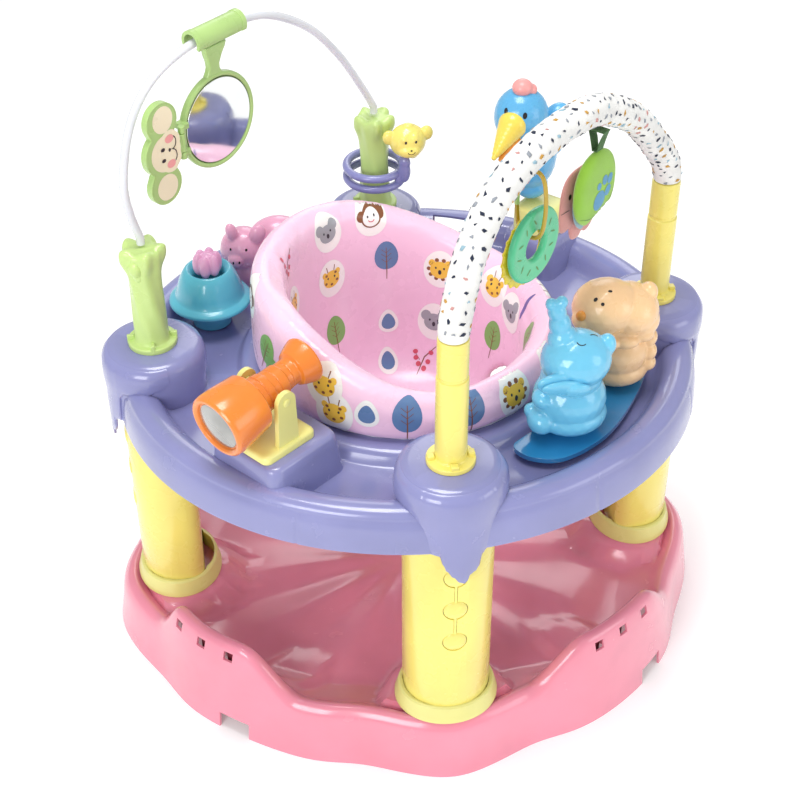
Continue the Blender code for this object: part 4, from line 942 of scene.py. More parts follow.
def make_tray():
    """Tray shell with turrets, drip covers, platforms and the grip slot."""
    seams = (-121.0, -60.0, -24.0, 24.0, 118.0, 158.0)
    directions = sorted({index * 1.5 for index in range(240)} | {(seam + step) % 360.0 for seam in seams
        for step in (-0.42, -0.14, 0.14, 0.42)})
    columns = []
    for degrees in directions:
        knots = tray_knots(degrees)
        if any(angle_between(degrees, seam) < 0.2 for seam in seams):
            knots = [(r - 0.0008 if k < 4 else r, z) for k, (r, z) in enumerate(knots)]
        columns.append(knots)
    rings = double_skin(directions, columns, lambda row, degrees, radius, height,
        _drop: polar(radius, degrees, TRAY_BOTTOM if row == 0 else height))
    tray = shown("tray_moulding", loft_mesh("tray_moulding", rings, looped=True), "purple", None, 42.0)
    cutters = []
    for inner, outer, low, high in ((0.28, 0.292, 0.358, 0.42), (0.2905, 0.36, 0.36, 0.3965)):
        outline = arc(0, 0, outer, outer, 58.0, 74.0, 20) + arc(0, 0, inner, inner, 74.0, 58.0, 20)
        cutters.append(prism("grip_cut", outline, high - low, None, at(0, 0, (low + high) / 2)))
    for x, y, _turn in POSTS.values():
        cutters.append(lathe("bore_cut", drum(0.054, 0.33, 0.42), None, at(x, y, 0.0), 48, 0.0))
    carve(tray, cutters, 42)
    pieces = [tray]
    for name, (x, y, turn) in POSTS.items():
        place = at(x, y, 0.0, turn)
        pieces.append(lathe(f"turret_{name}", [(0.0, TURRET_TOP), (0.044, TURRET_TOP), (0.05, 0.433),
            (0.0552, 0.4296), (0.0585, 0.4232), (0.0598, 0.414), (0.0598, 0.4), (0.0586, 0.392),
            (0.0578, 0.384), (0.0576, 0.3514), (0.0548, 0.3514), (0.0548, 0.4185), (0.048, 0.4292),
            (0.0, 0.4292)], "purple", place, 72, 0.0, 50.0))
        pieces.append(drip_cover(name, place))
    levels = ((0.006, 0.3735), (0.0045, 0.38), (0.002, 0.41), (0.0, PLATFORM_TOP - 0.004),
        (-0.0015, PLATFORM_TOP - 0.0012), (-0.0045, PLATFORM_TOP))
    for label, place, half in (("telescope", at(-0.176, -0.18, 0.0, SCOPE_TURN), 0.049),
            ("perch", at(PERCH[0], PERCH[1], 0.0, PERCH[2]), 0.036)):
        pieces.append(square_stack(f"platform_{label}", half, 0.014, levels, "purple", place, 60.0))
    dress(pieces, "tray")
    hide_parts("tray_shell")
    return tray


def rounded_square(half, corner, steps=8):
    """Outline of a square with round corners."""
    points = []
    for quarter in range(4):
        cx = (half - corner) * (1 if quarter in (0, 3) else -1)
        cy = (half - corner) * (1 if quarter in (0, 1) else -1)
        points += arc(cx, cy, corner, corner, 90.0 * quarter, 90.0 * quarter + 90.0, steps)
    return points


def square_stack(name, half, corner, levels, look, place, smooth):
    """A square moulding with round corners, skinned through levels of (spread, height)."""
    rings = [[Vector((x, y, height)) for x, y in rounded_square(half + spread, corner)]
        for spread, height in levels]
    return shown(name, loft_mesh(name, rings), look, place, smooth)


def drip_edge(degrees):
    """Height of the drip cover's wavy lower edge, by angle from its middle."""
    knots = ((-104, 0.412), (-90, 0.4045), (-76, 0.3985), (-62, 0.3975), (-50, 0.395), (-43, 0.388),
        (-38, 0.352), (-30, 0.351), (-21, 0.35), (-17, 0.338), (-13, 0.329), (-6, 0.32), (1, 0.312),
        (6, 0.3098), (9, 0.313), (12, 0.3215), (18, 0.3245), (22, 0.33), (26, 0.346), (32, 0.351),
        (38, 0.352), (43, 0.388), (50, 0.395), (62, 0.3975), (76, 0.3985), (90, 0.4045), (104, 0.412))
    for (a0, z0), (a1, z1) in zip(knots, knots[1:]):
        if a0 <= degrees <= a1:
            return z0 + (z1 - z0) * smooth_step(a0, a1, degrees)
    return 0.412


def drip_cover(name, place):
    """The cover that seems to melt over a turret and down its leg."""
    def skin(height):
        """Turret radius at a height."""
        knots = ((0.3, 0.0578), (0.384, 0.0578), (0.394, 0.059), (0.404, 0.06), (0.416, 0.06),
            (0.424, 0.0588), (0.429, 0.056), (0.432, 0.052))
        return between(knots, height)

    rings = []
    steps = 208
    for index in range(steps + 1):
        degrees = -104.0 + 208.0 * index / steps
        low = drip_edge(degrees)
        heights = [0.431 + (low - 0.431) * (row / 12) for row in range(13)]
        fade = smooth_step(0.0, 0.12, min(index / steps, 1 - index / steps))
        angle = math.radians(degrees - 90.0)
        ring = []
        for row, height in enumerate(heights):
            puff = 0.0003 + 0.0022 * fade * math.sin(math.pi * min(row / 12 * 0.62 + 0.1, 1.0))
            if row == 12:
                puff *= 0.55
            ring.append(Vector(((skin(height) + puff) * math.cos(angle),
                (skin(height) + puff) * math.sin(angle), height)))
        for row in range(12, -1, -1):
            height = heights[row]
            inner = skin(height) - 0.0016
            ring.append(Vector((inner * math.cos(angle), inner * math.sin(angle), height)))
        rings.append(ring)
    return shown(f"drip_{name}", loft_mesh(f"drip_{name}", rings), "purple", place, 65.0)


# ---------------------------------------------------------------- seat
def seat_crest(degrees):
    """Height of the seat's crest by direction: high at the back rest."""
    share = smooth_step(-0.6, 1.0, math.cos(math.radians(degrees - SEAT_BACK_ANGLE)))
    return SEAT_LOW_CREST + SEAT_RISE * share


def seat_knots(degrees):
    """Seat section at one direction, from under the outer wall over the crest to the middle."""
    top = seat_crest(degrees)
    return [(0.179, 0.3945), (0.1832, 0.4), (0.1842, 0.408), (0.1835, 0.5 * (0.402 + top)),
        (0.1815, top - 0.02), (0.177, top - 0.006), (0.1685, top), (0.159, top - 0.003),
        (0.151, top - 0.012), (0.147, top - 0.028), (0.144, 0.5 * (0.4 + top - 0.02)), (0.1415, 0.4),
        (0.1385, 0.37), (0.132, 0.33), (0.1235, 0.3), (0.11, 0.277), (0.085, 0.264), (0.05, 0.259),
        (0.02, 0.2575)]


def make_seat():
    """Padded bucket with its leg holes and printed film."""
    directions = [index * 2.5 for index in range(144)]
    inner, outer = [], []
    for degrees in directions:
        skin = smooth_path([(r, z, 0.0) for r, z in seat_knots(degrees)], 3)
        inner.append([(p.x, p.y) for p in skin])
        back = smooth_path([(0.02, 0.247, 0), (0.06, 0.2485, 0), (0.09, 0.254, 0), (0.119, 0.27, 0),
            (0.133, 0.298, 0), (0.141, 0.326, 0), (0.146, 0.356, 0), (0.1505, 0.386, 0), (0.155, 0.3942, 0),
            (0.17, 0.3945, 0)], 3)
        outer.append([(p.x, p.y) for p in back])
    rings = [[polar(column[row][0], degrees, column[row][1]) for degrees, column in zip(directions, wall)]
        for wall in (outer, inner) for row in range(len(wall[0]))]
    bucket = shown("seat_bucket", loft_mesh("seat_bucket", rings), "seat", None, 180.0)
    carve(bucket, [lathe("leg_cut", drum(LEG_HOLE_RADIUS, -0.045, 0.045), None,
        outward_at(0.125, degrees, 0.285) @ Matrix.Rotation(math.radians(115.0), 4, "Y"), 48, 0.0)
        for degrees in LEG_HOLE_ANGLES], 60)
    bucket = puffed(bucket)
    dress(bucket, "seat")
    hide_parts("seat_pad")
    print_seat(bucket)


def wall_radius(height):
    """Radius of the bucket's inner wall at a height."""
    knots = ((0.277, 0.11), (0.3, 0.1235), (0.33, 0.132), (0.37, 0.1385), (0.4, 0.1415), (0.5, 0.147))
    return between(knots, height)


def animal(ear, body, spots):
    """Head of a printed animal on its white oval: ears, face, eyes and nose."""
    shapes = [("print_white", 0, disc(0, 0, 0.0165, 0.02, 28))]
    shapes += [(body, 1, disc(side * 0.0082, ear[1], ear[0], ear[0] * 1.1, 14)) for side in (-1, 1)]
    shapes += [(body, 2, disc(0, -0.0005, 0.01, 0.0092, 24))]
    shapes += [("print_black", 3, disc(side * 0.0042, 0.0015, 0.001, 0.0013, 10)) for side in (-1, 1)]
    return shapes + spots


def tree_print(body):
    """A leaf-shaped tree with its stem and veins."""
    leaf = [(0.0118 * math.sin(t) * (1.0 - 0.12 * math.cos(t)), 0.0155 * math.cos(t) + 0.003)
        for t in turns(26)]
    shapes = [(body, 0, leaf), ("print_brown", 1, stroke([(0, -0.023), (0.0003, -0.01), (0, 0.012)],
        0.0011))]
    for level in (-0.0045, 0.001, 0.006):
        shapes += [("print_brown", 2, stroke([(0, level), (side * 0.005, level + 0.0042)], 0.0008))
            for side in (-1, 1)]
    return shapes


def print_shapes(kind):
    """Layers (look, layer, outline) of one printed motif."""
    black_nose = ("print_black", 4, disc(0, -0.0028, 0.0017, 0.0026, 12))
    spots = [("print_brown", 4, disc(x, y, 0.0016, 0.0014, 8))
        for x, y in ((-0.006, 0.005), (0.0055, 0.0055), (-0.007, -0.0035), (0.0068, -0.003),
        (0.0, -0.0062))]
    horns = [("print_brown", 1, stroke([(side * 0.0038, 0.0075), (side * 0.0052, 0.014)], 0.0017))
        for side in (-1, 1)]
    if kind == "koala":
        return animal((0.0052, 0.0062), "print_grey", [black_nose])
    if kind == "giraffe":
        return animal((0.003, 0.006), "print_yellow", horns + spots)
    if kind == "lion":
        mane = [("print_brown", 1, disc(0.0112 * math.cos(t), 0.0104 * math.sin(t), 0.0022, 0.0022, 8))
            for t in (math.radians(36 * k) for k in range(10))]
        return animal((0.0035, 0.0065), "print_yellow", mane + [black_nose])
    if kind == "monkey":
        return [("print_white", 0, disc(0, 0, 0.0165, 0.019, 28)),
            *[("print_brown", 1, disc(side * 0.01, 0.002, 0.0048, 0.005, 14)) for side in (-1, 1)],
            ("print_brown", 2, disc(0, 0, 0.0104, 0.01, 24)),
            ("print_white", 3, disc(0, -0.0006, 0.0086, 0.008, 24)),
            *[("print_black", 4, disc(side * 0.0034, 0.0012, 0.0009, 0.0012, 10)) for side in (-1, 1)],
            ("print_red", 4, stroke(arc(0, -0.001, 0.0032, 0.003, 200.0, 340.0, 8), 0.0009))]
    if kind == "twig":
        dots = ((-0.009, -0.001), (-0.006, -0.0065), (0.0, -0.01), (-0.01, 0.005), (0.0035, -0.004),
            (0.006, 0.005))
        return ([("print_brown", 0, stroke([(-0.006, -0.015), (-0.0005, 0.0), (0.011, 0.012)], 0.0012)),
            ("print_brown", 1, stroke([(-0.005, -0.003), (-0.0105, 0.0045)], 0.0009))]
            + [("print_red", 2, disc(x, y, 0.0026, 0.0023, 12)) for x, y in dots])
    if kind == "drop":
        return [("print_white", 0, [(0.01 * math.sin(t) * (1 - 0.25 * math.cos(t)), 0.0125 * math.cos(t))
            for t in turns(24)]), ("print_blue", 1, [(0.0068 * math.sin(t) * (1 - 0.3 * math.cos(t)),
            0.0085 * math.cos(t) - 0.0005) for t in turns(20)])]
    if kind == "slit":
        return [("print_violet", 0, disc(0, 0, 0.0026, 0.014, 16))]
    return tree_print({"blue_tree": "print_blue", "green_tree": "print_green"}[kind])


def print_seat(bucket):
    """The motifs printed on the seat's film, inside and outside."""
    inside = (("koala", 124, 0.485, 8), ("twig", 160, 0.492, -20), ("monkey", 99, 0.487, 0),
        ("giraffe", 124, 0.422, 0), ("giraffe", 160, 0.432, 0), ("blue_tree", 92, 0.429, 0),
        ("lion", 64, 0.414, 0), ("giraffe", 32, 0.414, 0), ("slit", 5, 0.424, 0),
        ("green_tree", -14, 0.41, 0), ("green_tree", 125, 0.345, 0), ("drop", 92, 0.34, 0),
        ("koala", 66, 0.34, 0), ("green_tree", 27, 0.348, 0), ("koala", 15, 0.4, 20), ("drop", 94, 0.29, 0),
        ("twig", 70, 0.292, 0), ("lion", 160, 0.365, 0), ("blue_tree", 190, 0.45, 0),
        ("koala", 215, 0.42, 0), ("twig", 190, 0.385, 0), ("giraffe", 245, 0.405, 0),
        ("green_tree", 268, 0.4, 0), ("lion", 305, 0.4, 0))
    outside = (("monkey", 181, 0.486, 0), ("giraffe", 230, 0.452, 0), ("giraffe", 234, 0.42, 0),
        ("blue_tree", 260, 0.424, 0), ("blue_tree", 283, 0.422, 0), ("lion", 302, 0.422, 0),
        ("green_tree", 200, 0.45, -25), ("koala", 325, 0.42, 0), ("twig", 345, 0.424, 0),
        ("giraffe", 8, 0.424, 0), ("green_tree", 30, 0.428, 0), ("monkey", 55, 0.434, 0),
        ("lion", 82, 0.452, 0), ("blue_tree", 106, 0.462, 0), ("koala", 130, 0.47, 0),
        ("twig", 155, 0.472, 0), ("drop", 246, 0.428, 0), ("green_tree", 205, 0.424, 0))
    layers = {}
    for group, sign in ((inside, -1), (outside, 1)):
        for kind, angle, height, tilt in group:
            radius = wall_radius(height) if sign < 0 else 0.184
            outward = (polar(1.0, angle, 0.0) * sign + Vector((0.0, 0.0, 0.1
                if sign < 0 else 0.0))).normalized()
            cos, sin = math.cos(math.radians(tilt)), math.sin(math.radians(tilt))
            for look, layer, outline in print_shapes(kind):
                size = 1.28 if sign < 0 else 1.4
                turned = [((x * cos - y * sin) * size, (x * sin + y * cos) * size) for x, y in outline]
                layers.setdefault((look, layer), []).append((polar(radius, angle, height), outward, turned))
    pieces = [painted(f"seat_{look}_{layer}", bucket, spots, look, 0.00025 + 0.00012 * layer)
        for (look, layer), spots in sorted(layers.items())]
    dress(pieces, "seat")
    return pieces


def puffed(bucket):
    """Blow the padded cover up a little with a cloth simulation, then apply it."""
    remesh = bucket.modifiers.new("Cells", "REMESH")
    remesh.mode = "VOXEL"
    remesh.voxel_size = 0.0045
    baked(bucket)
    rest = [v.co.copy() for v in bucket.data.vertices]
    sim = bucket.modifiers.new("Cloth", "CLOTH")
    sim.settings.use_pressure = True
    sim.settings.uniform_pressure_force = 4.0
    sim.settings.effector_weights.gravity = 0.0
    sim.settings.quality = 5
    scene = bpy.context.scene
    for step in range(1, 21):
        scene.frame_set(step)
    mesh = bpy.data.meshes.new_from_object(bucket.evaluated_get(bpy.context.evaluated_depsgraph_get()))
    bucket.modifiers.clear()
    scene.frame_set(1)
    limit = 0.0035
    for vert, home in zip(mesh.vertices, rest):
        shift = vert.co - home
        if shift.length > limit:
            vert.co = home + shift.normalized() * limit
    bucket.data = mesh
    bucket.data.materials.clear()
    bucket.data.materials.append(M["seat"])
    soften = bucket.modifiers.new("Soften", "SMOOTH")
    soften.factor = 0.5
    soften.iterations = 3
    divide = bucket.modifiers.new("Divide", "SUBSURF")
    divide.levels = 1
    divide.render_levels = 1
    baked(bucket)
    bucket.data.shade_smooth()
    return bucket


# ---------------------------------------------------------------- arches
def along_arch(start, end, points):
    """Turn (distance along the span, height) pairs into points of an upright plane."""
    first = Vector((start[0], start[1], 0.0))
    way = (Vector((end[0], end[1], 0.0)) - first).normalized()
    return [first + way * span + Vector((0.0, 0.0, height)) for span, height in points]


def arch_path(start, end, route, steps=8):
    """A smooth arch whose first and last pieces stand straight."""
    points = along_arch(start, end, route)
    return [points[0]] + smooth_path(points[1:-1], steps) + [points[-1]]


def on_arch(path, start, span):
    """Point and direction of an arch at a distance along its span."""
    first = Vector((start[0], start[1], 0.0))
    for low, high in zip(path, path[1:]):
        a, b = (low - first).dot(ARCH_WAY), (high - first).dot(ARCH_WAY)
        if a <= span < b:
            return low.lerp(high, (span - a) / (b - a)), (high - low).normalized()
    return path[-1], ARCH_WAY


WIRE_PATH = arch_path(POSTS["left"], POSTS["back"], WIRE_ROUTE)
SLEEVE_PATH = arch_path(POSTS["front"], POSTS["right"], SLEEVE_ROUTE)


def flange_clips(label, name, size, look, rise, reach, rounding, count):
    """Clips round a stem's flange, a quarter turn apart."""
    x, y, turn = POSTS[name]
    return [block(f"{label}_clip_{name}_{k}", size, look,
        at(x, y, STEM_BASE + rise, turn) @ Matrix.Rotation(math.radians(-90 + k * 90), 4, "Z")
        @ Matrix.Translation((reach, 0.0, 0.0)), rounding) for k in range(count)]


def make_trunk(name):
    """A tree-trunk stem with bark ridges, a flared crown with nubs, and a clipped flange."""
    x, y, turn = POSTS[name]
    profile = ((0.0, 0.0282), (0.004, 0.0285), (0.0062, 0.0275), (0.0068, 0.0225), (0.01, 0.0206),
        (0.024, 0.0192), (0.048, 0.0184), (0.072, 0.0182), (0.092, 0.019), (0.106, 0.0212), (0.117, 0.0234),
        (0.126, 0.0236), (0.13, 0.0215), (0.1312, 0.017))
    rings = []
    for knot in smooth_path([(h, r, 0.0) for h, r in profile], 3):
        rise, radius = knot.x, knot.y
        ring = []
        share = smooth_step(0.008, 0.02, rise)
        crown = smooth_step(0.095, 0.122, rise)
        for angle in turns(72):
            bark = 0.00085 * math.sin(6 * angle + 14 * rise * 6 + 0.8 * math.sin(40 * rise)) * share
            flare = 0.0026 * crown * math.sin(5 * angle + 0.6) + 0.001 * crown * math.sin(9 * angle)
            size = radius + bark + flare
            lift = 0.002 * crown * math.sin(5 * angle + 0.6) * smooth_step(0.118, 0.1312, rise)
            ring.append(Vector((size * math.cos(angle), size * math.sin(angle),
                STEM_BASE + rise + lift - 0.002 * crown)))
        rings.append(ring)
    trunk = shown(f"trunk_{name}", loft_mesh(f"trunk_{name}", rings), "lime", at(x, y, 0.0, turn), 60.0)
    knob = moulded(f"trunk_knob_{name}", [((0.015, -0.008, 0.545), (0.0088, 0.0088, 0.012)),
        ((0.011, -0.005, 0.535), (0.009, 0.009, 0.012))], "lime", at(x, y, 0.0, turn), 0.001, 3)
    clips = flange_clips("trunk", name, (0.0085, 0.0045, 0.0115), "lime", 0.0065, 0.0245, 0.001, 3)
    dress([trunk, knob, *clips], "tray")
    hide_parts(f"trunk_stem_{name}")


def make_posts():
    """Yellow end posts of the printed arch."""
    for name in ("front", "right"):
        x, y, turn = POSTS[name]
        profile = [(0.0, 0.5924), (0.0135, 0.5924), (0.016, 0.5912), (0.0165, 0.589), (0.0165, 0.5478),
            (0.0155, 0.5466), (0.0155, 0.5442), (0.017, 0.543), (0.0172, 0.539),
            (0.0172, STEM_BASE + 0.0075), (0.0185, STEM_BASE + 0.0062), (0.0262, STEM_BASE + 0.0052),
            (0.0266, STEM_BASE + 0.004), (0.0266, STEM_BASE), (0.0, STEM_BASE)]
        post = lathe(f"arch_stand_{name}", profile, "yellow", at(x, y, 0.0, turn), 64, 0.0004, 36.0)
        clips = flange_clips("stand", name, (0.008, 0.009, 0.0085), "yellow", 0.0055, 0.0215, 0.0012, 4)
        dress([post, *clips], "tray")
        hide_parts(f"arch_post_{name}")


def make_sleeve():
    """Printed cloth sleeve with woven chips and its sewn tab."""
    sides = 48
    path = SLEEVE_PATH
    rings = []
    side = ARCH_FACE.copy()
    lengths = [0.0]
    for a, b in zip(path, path[1:]):
        lengths.append(lengths[-1] + (b - a).length)
    fine = []
    total = lengths[-1]
    count = 260
    for k in range(count + 1):
        want = total * k / count
        index = max(i for i in range(len(lengths)) if lengths[i] <= want + 1e-9)
        index = min(index, len(path) - 2)
        share = (want - lengths[index]) / (lengths[index + 1] - lengths[index])
        fine.append(path[index].lerp(path[index + 1], share))
    frames = []
    for k, point in enumerate(fine):
        along = (fine[min(k + 1, count)] - fine[max(k - 1, 0)]).normalized()
        up = along.cross(side).normalized()
        frames.append((point, along, up))
        ring = []
        share = k / count
        ends = math.exp(-((share / 0.012) ** 2)) + math.exp(-(((1 - share) / 0.012) ** 2))
        for angle in turns(sides):
            wrinkle = 0.00022 * math.sin(3 * angle + 60 * share) * math.sin(95 * share)
            bend = 0.0003 * math.sin(230 * share) * max(0.0, -math.sin(angle)) * math.sin(math.pi * share)
            radius = SLEEVE_RADIUS + wrinkle + bend - 0.001 * ends
            ring.append(point + (side * math.cos(angle) + up * math.sin(angle)) * radius)
        rings.append(ring)
    lining = [[point + (vert - point) * 0.955 for vert in ring] for point, ring in zip(fine, rings)]
    rings += lining[::-1]
    sleeve = shown("arch_cloth", loft_mesh("arch_cloth", rings, looped=True), "sleeve", None, 60.0)
    chips = {"chip_navy": [], "chip_grey": [], "chip_blue": [], "chip_mustard": [], "chip_pink": []}
    draw = random.Random(7)
    looks = (["chip_navy"] * 9 + ["chip_grey"] * 6 + ["chip_blue"] * 3 + ["chip_mustard"] * 3
             + ["chip_pink"] * 2)
    placed = []
    tries = 0
    while len(placed) < CHIP_COUNT and tries < 14000:
        tries += 1
        s = draw.uniform(0.006, total - 0.006)
        angle = draw.uniform(0, 2 * math.pi)
        if any(abs(s - q) < 0.0085 and abs((angle - a + math.pi) % (2 * math.pi) - math.pi) < 0.5
               for q, a in placed):
            continue
        placed.append((s, angle))
        look = draw.choice(looks)
        corners = draw.choice((3, 4, 4, 5))
        turn = draw.uniform(0, 6.28)
        length = draw.uniform(0.0021, 0.0041)
        width = length * draw.uniform(0.42, 0.75)
        outline = []
        for c in range(corners):
            t = 2 * math.pi * c / corners + draw.uniform(-0.35, 0.35)
            u, v = length * math.cos(t), width * math.sin(t)
            outline.append((u * math.cos(turn) - v * math.sin(turn),
                u * math.sin(turn) + v * math.cos(turn)))
        verts = []
        for u, v in outline:
            k = min(int((s + u) / total * count), count - 1)
            point, along, up = frames[k]
            point = point + along * ((s + u) - total * k / count)
            t = angle + v / 0.0168
            verts.append(point + (side * math.cos(t) + up * math.sin(t)) * 0.0169)
        chips[look].append(verts)
    pieces = []
    for look, shapes in chips.items():
        verts, faces = [], []
        for shape in shapes:
            base = len(verts)
            verts += shape
            faces.append(tuple(range(base, base + len(shape))))
        mesh = bpy.data.meshes.new(look)
        mesh.from_pydata([tuple(v) for v in verts], [], faces)
        pieces.append(shown(f"sleeve_{look}", mesh, look, None, 180.0))
        thick = pieces[-1].modifiers.new("Thick", "SOLIDIFY")
        thick.thickness = 0.0003
    point, _along = on_arch(SLEEVE_PATH, POSTS["front"], LINK_SPAN)
    tab = prism("sleeve_tab", ring_outline(0.008), 0.0018, "sleeve",
        Matrix.Translation(point + Vector((0, 0, -0.021))) @ Matrix.Rotation(ARCH_TURN, 4, "Z") @ UPRIGHT,
        0.0003, holes=(ring_outline(0.0041),))
    dress([sleeve, tab, *pieces], "tray")
    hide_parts("arch_sleeve")


# ---------------------------------------------------------------- wire arch toys
def arch_frame(path, start, span):
    """Frame on an arch: X runs along it, Y faces the back, Z points out of it."""
    point, along = on_arch(path, start, span)
    back = -ARCH_FACE
    up = along.cross(back)
    return Matrix(((along.x, back.x, up.x, point.x), (along.y, back.y, up.y, point.y),
        (along.z, back.z, up.z, point.z), (0.0, 0.0, 0.0, 1.0)))


def make_wire_arch():
    """Bent white wire with the clip, the mirror and the hinged monkey flap."""
    wire = sweep("arch_wire", WIRE_PATH, 0.0048, "white", sides=28)
    dress(wire, "tray")
    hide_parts("wire_arch")

    middle = Vector((-POST_X, 0.0, 0.0)) + ARCH_WAY * 0.13 + Vector((0.0, 0.0, 0.667))
    flat = Matrix.Translation(middle) @ Matrix.Rotation(ARCH_TURN, 4, "Z") @ UPRIGHT
    frame_ring = lathe("mirror_rim", [(0.0, -0.0012), (0.0502, -0.0012), (0.0505, 0.0034), (0.0516, 0.0046),
        (0.0535, 0.005), (0.0552, 0.0044), (0.056, 0.0025), (0.056, -0.001), (0.055, -0.0036),
        (0.0525, -0.0048), (0.0, -0.0048)], "leaf_green", flat, 96)
    neck = prism("mirror_neck", [(-0.013, 0.0535), (0.013, 0.0535), (0.0085, 0.06), (0.0085, 0.066),
        (0.013, 0.075), (0.019, 0.083), (0.0215, 0.0885), (-0.012, 0.0885), (-0.011, 0.08), (-0.008, 0.071),
        (-0.0072, 0.064), (-0.009, 0.059)], 0.008, "leaf_green", flat, 0.0018)
    clip_at = arch_frame(WIRE_PATH, POSTS["left"], 0.138)
    across = clip_at @ Matrix.Rotation(math.pi / 2, 4, "Y")
    shell = (arc(0, 0, 0.013, 0.013, 60.0, 300.0, 40) + arc(0, 0, 0.0098, 0.0098, 300.0, 60.0, 40))
    clip = prism("wire_clip", shell, 0.074, "leaf_green", across, 0.0009)
    lips = [prism(f"clip_lip_{k}", [(math.cos(t) * r, math.sin(t) * r)
        for t, r in [(math.radians(60 + 4 * j), 0.0136) for j in range(61)]
        + [(math.radians(300 - 4 * j), 0.0096) for j in range(61)]], 0.006, "leaf_green",
        across @ Matrix.Translation((0, 0, side * 0.0335)), 0.0008) for k, side in enumerate((-1, 1))]
    hinge = flat @ Matrix.Translation((-0.0625, 0.0, 0.0095))
    upright = hinge @ UPRIGHT
    knuckles = []
    for end in (-1, 1):
        knuckles.append(lathe(f"frame_knuckle_{end + 1}", pin_profile(0.004, 0.004), "leaf_green",
            upright @ Matrix.Translation((0.0, 0.0, end * 0.0155)), 32))
        knuckles.append(block(f"frame_arm_{end + 1}", (0.011, 0.007, 0.013), "leaf_green",
            hinge @ Matrix.Translation((0.007, end * 0.0155, -0.0065)), 0.0012))
    dress([frame_ring, neck, clip, *lips, *knuckles], "mirror")
    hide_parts("mirror_frame")
    glass = lathe("mirror_disc", [(0.0, 0.004), (0.049, 0.004), (0.0494, 0.0036), (0.0494, 0.0022),
        (0.0, 0.0022)], "mirror", flat, 96)
    dress(glass, "mirror")
    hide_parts("mirror_glass")

    lobes = ((-0.03, 0.037, 0.022), (-0.0305, 0.0, 0.027), (-0.032, -0.038, 0.0225))
    outline = union_outline(lobes, (-0.033, 0.0))
    plate = prism("monkey_plate", outline, 0.008, "leaf_green", hinge, 0.002)
    tab = block("flap_tab", (0.016, 0.022, 0.006), "leaf_green", hinge @ Matrix.Translation((-0.006, 0, 0)),
        0.0015)
    pin = lathe("flap_pin", pin_profile(0.004, 0.011), "leaf_green", upright, 32)
    out = ARCH_FACE

    def spot(x, y, shape):
        """A spot on the flap's face: its middle in the flap's plane and its outline."""
        return (hinge @ Vector((x, y, 0.004)), out, shape)

    rim = painted("monkey_edge", plate, [spot(0, 0, union_outline([(x, y, r - 0.0022) for x, y, r in lobes],
        (-0.033, 0.0)))], "leaf_green", 0.0002)
    patch = painted("monkey_cream", plate, [spot(0, 0, disc(-0.029, 0.0395, 0.0145, 0.0155)),
        spot(0, 0, disc(-0.031, -0.0405, 0.015, 0.0155)), spot(0, 0,
        union_outline(((-0.0285, 0.0, 0.0215), (-0.022, 0.01, 0.015), (-0.022, -0.01, 0.015)),
        (-0.026, 0.0)))], "cream", 0.0004)
    cheeks = painted("monkey_cheeks", plate, [spot(0, 0, disc(-0.0225, 0.015, 0.0062, 0.0048)),
        spot(0, 0, disc(-0.0225, -0.015, 0.0062, 0.0048))], "cheek", 0.0006)
    marks = painted("monkey_marks", plate, [spot(0, 0, disc(-0.033, 0.0055, 0.003, 0.0022)),
        spot(0, 0, disc(-0.033, -0.0075, 0.003, 0.0022)), spot(0, 0, disc(-0.0235, 0.002, 0.0016, 0.0022)),
        spot(0, 0, stroke([(-0.0225, 0.002), (-0.0165, 0.0022)], 0.001)),
        spot(0, 0, stroke(arc(-0.02, 0.0095, 0.0065, 0.008, -85.0, 60.0, 14), 0.0011)),
        spot(0, 0, stroke(arc(-0.02, -0.0065, 0.0065, 0.008, -60.0, 85.0, 14), 0.0011))], "black", 0.0008)
    dress([plate, tab, pin, rim, patch, cheeks, marks], "monkey_flap")
    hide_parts("monkey_flap")


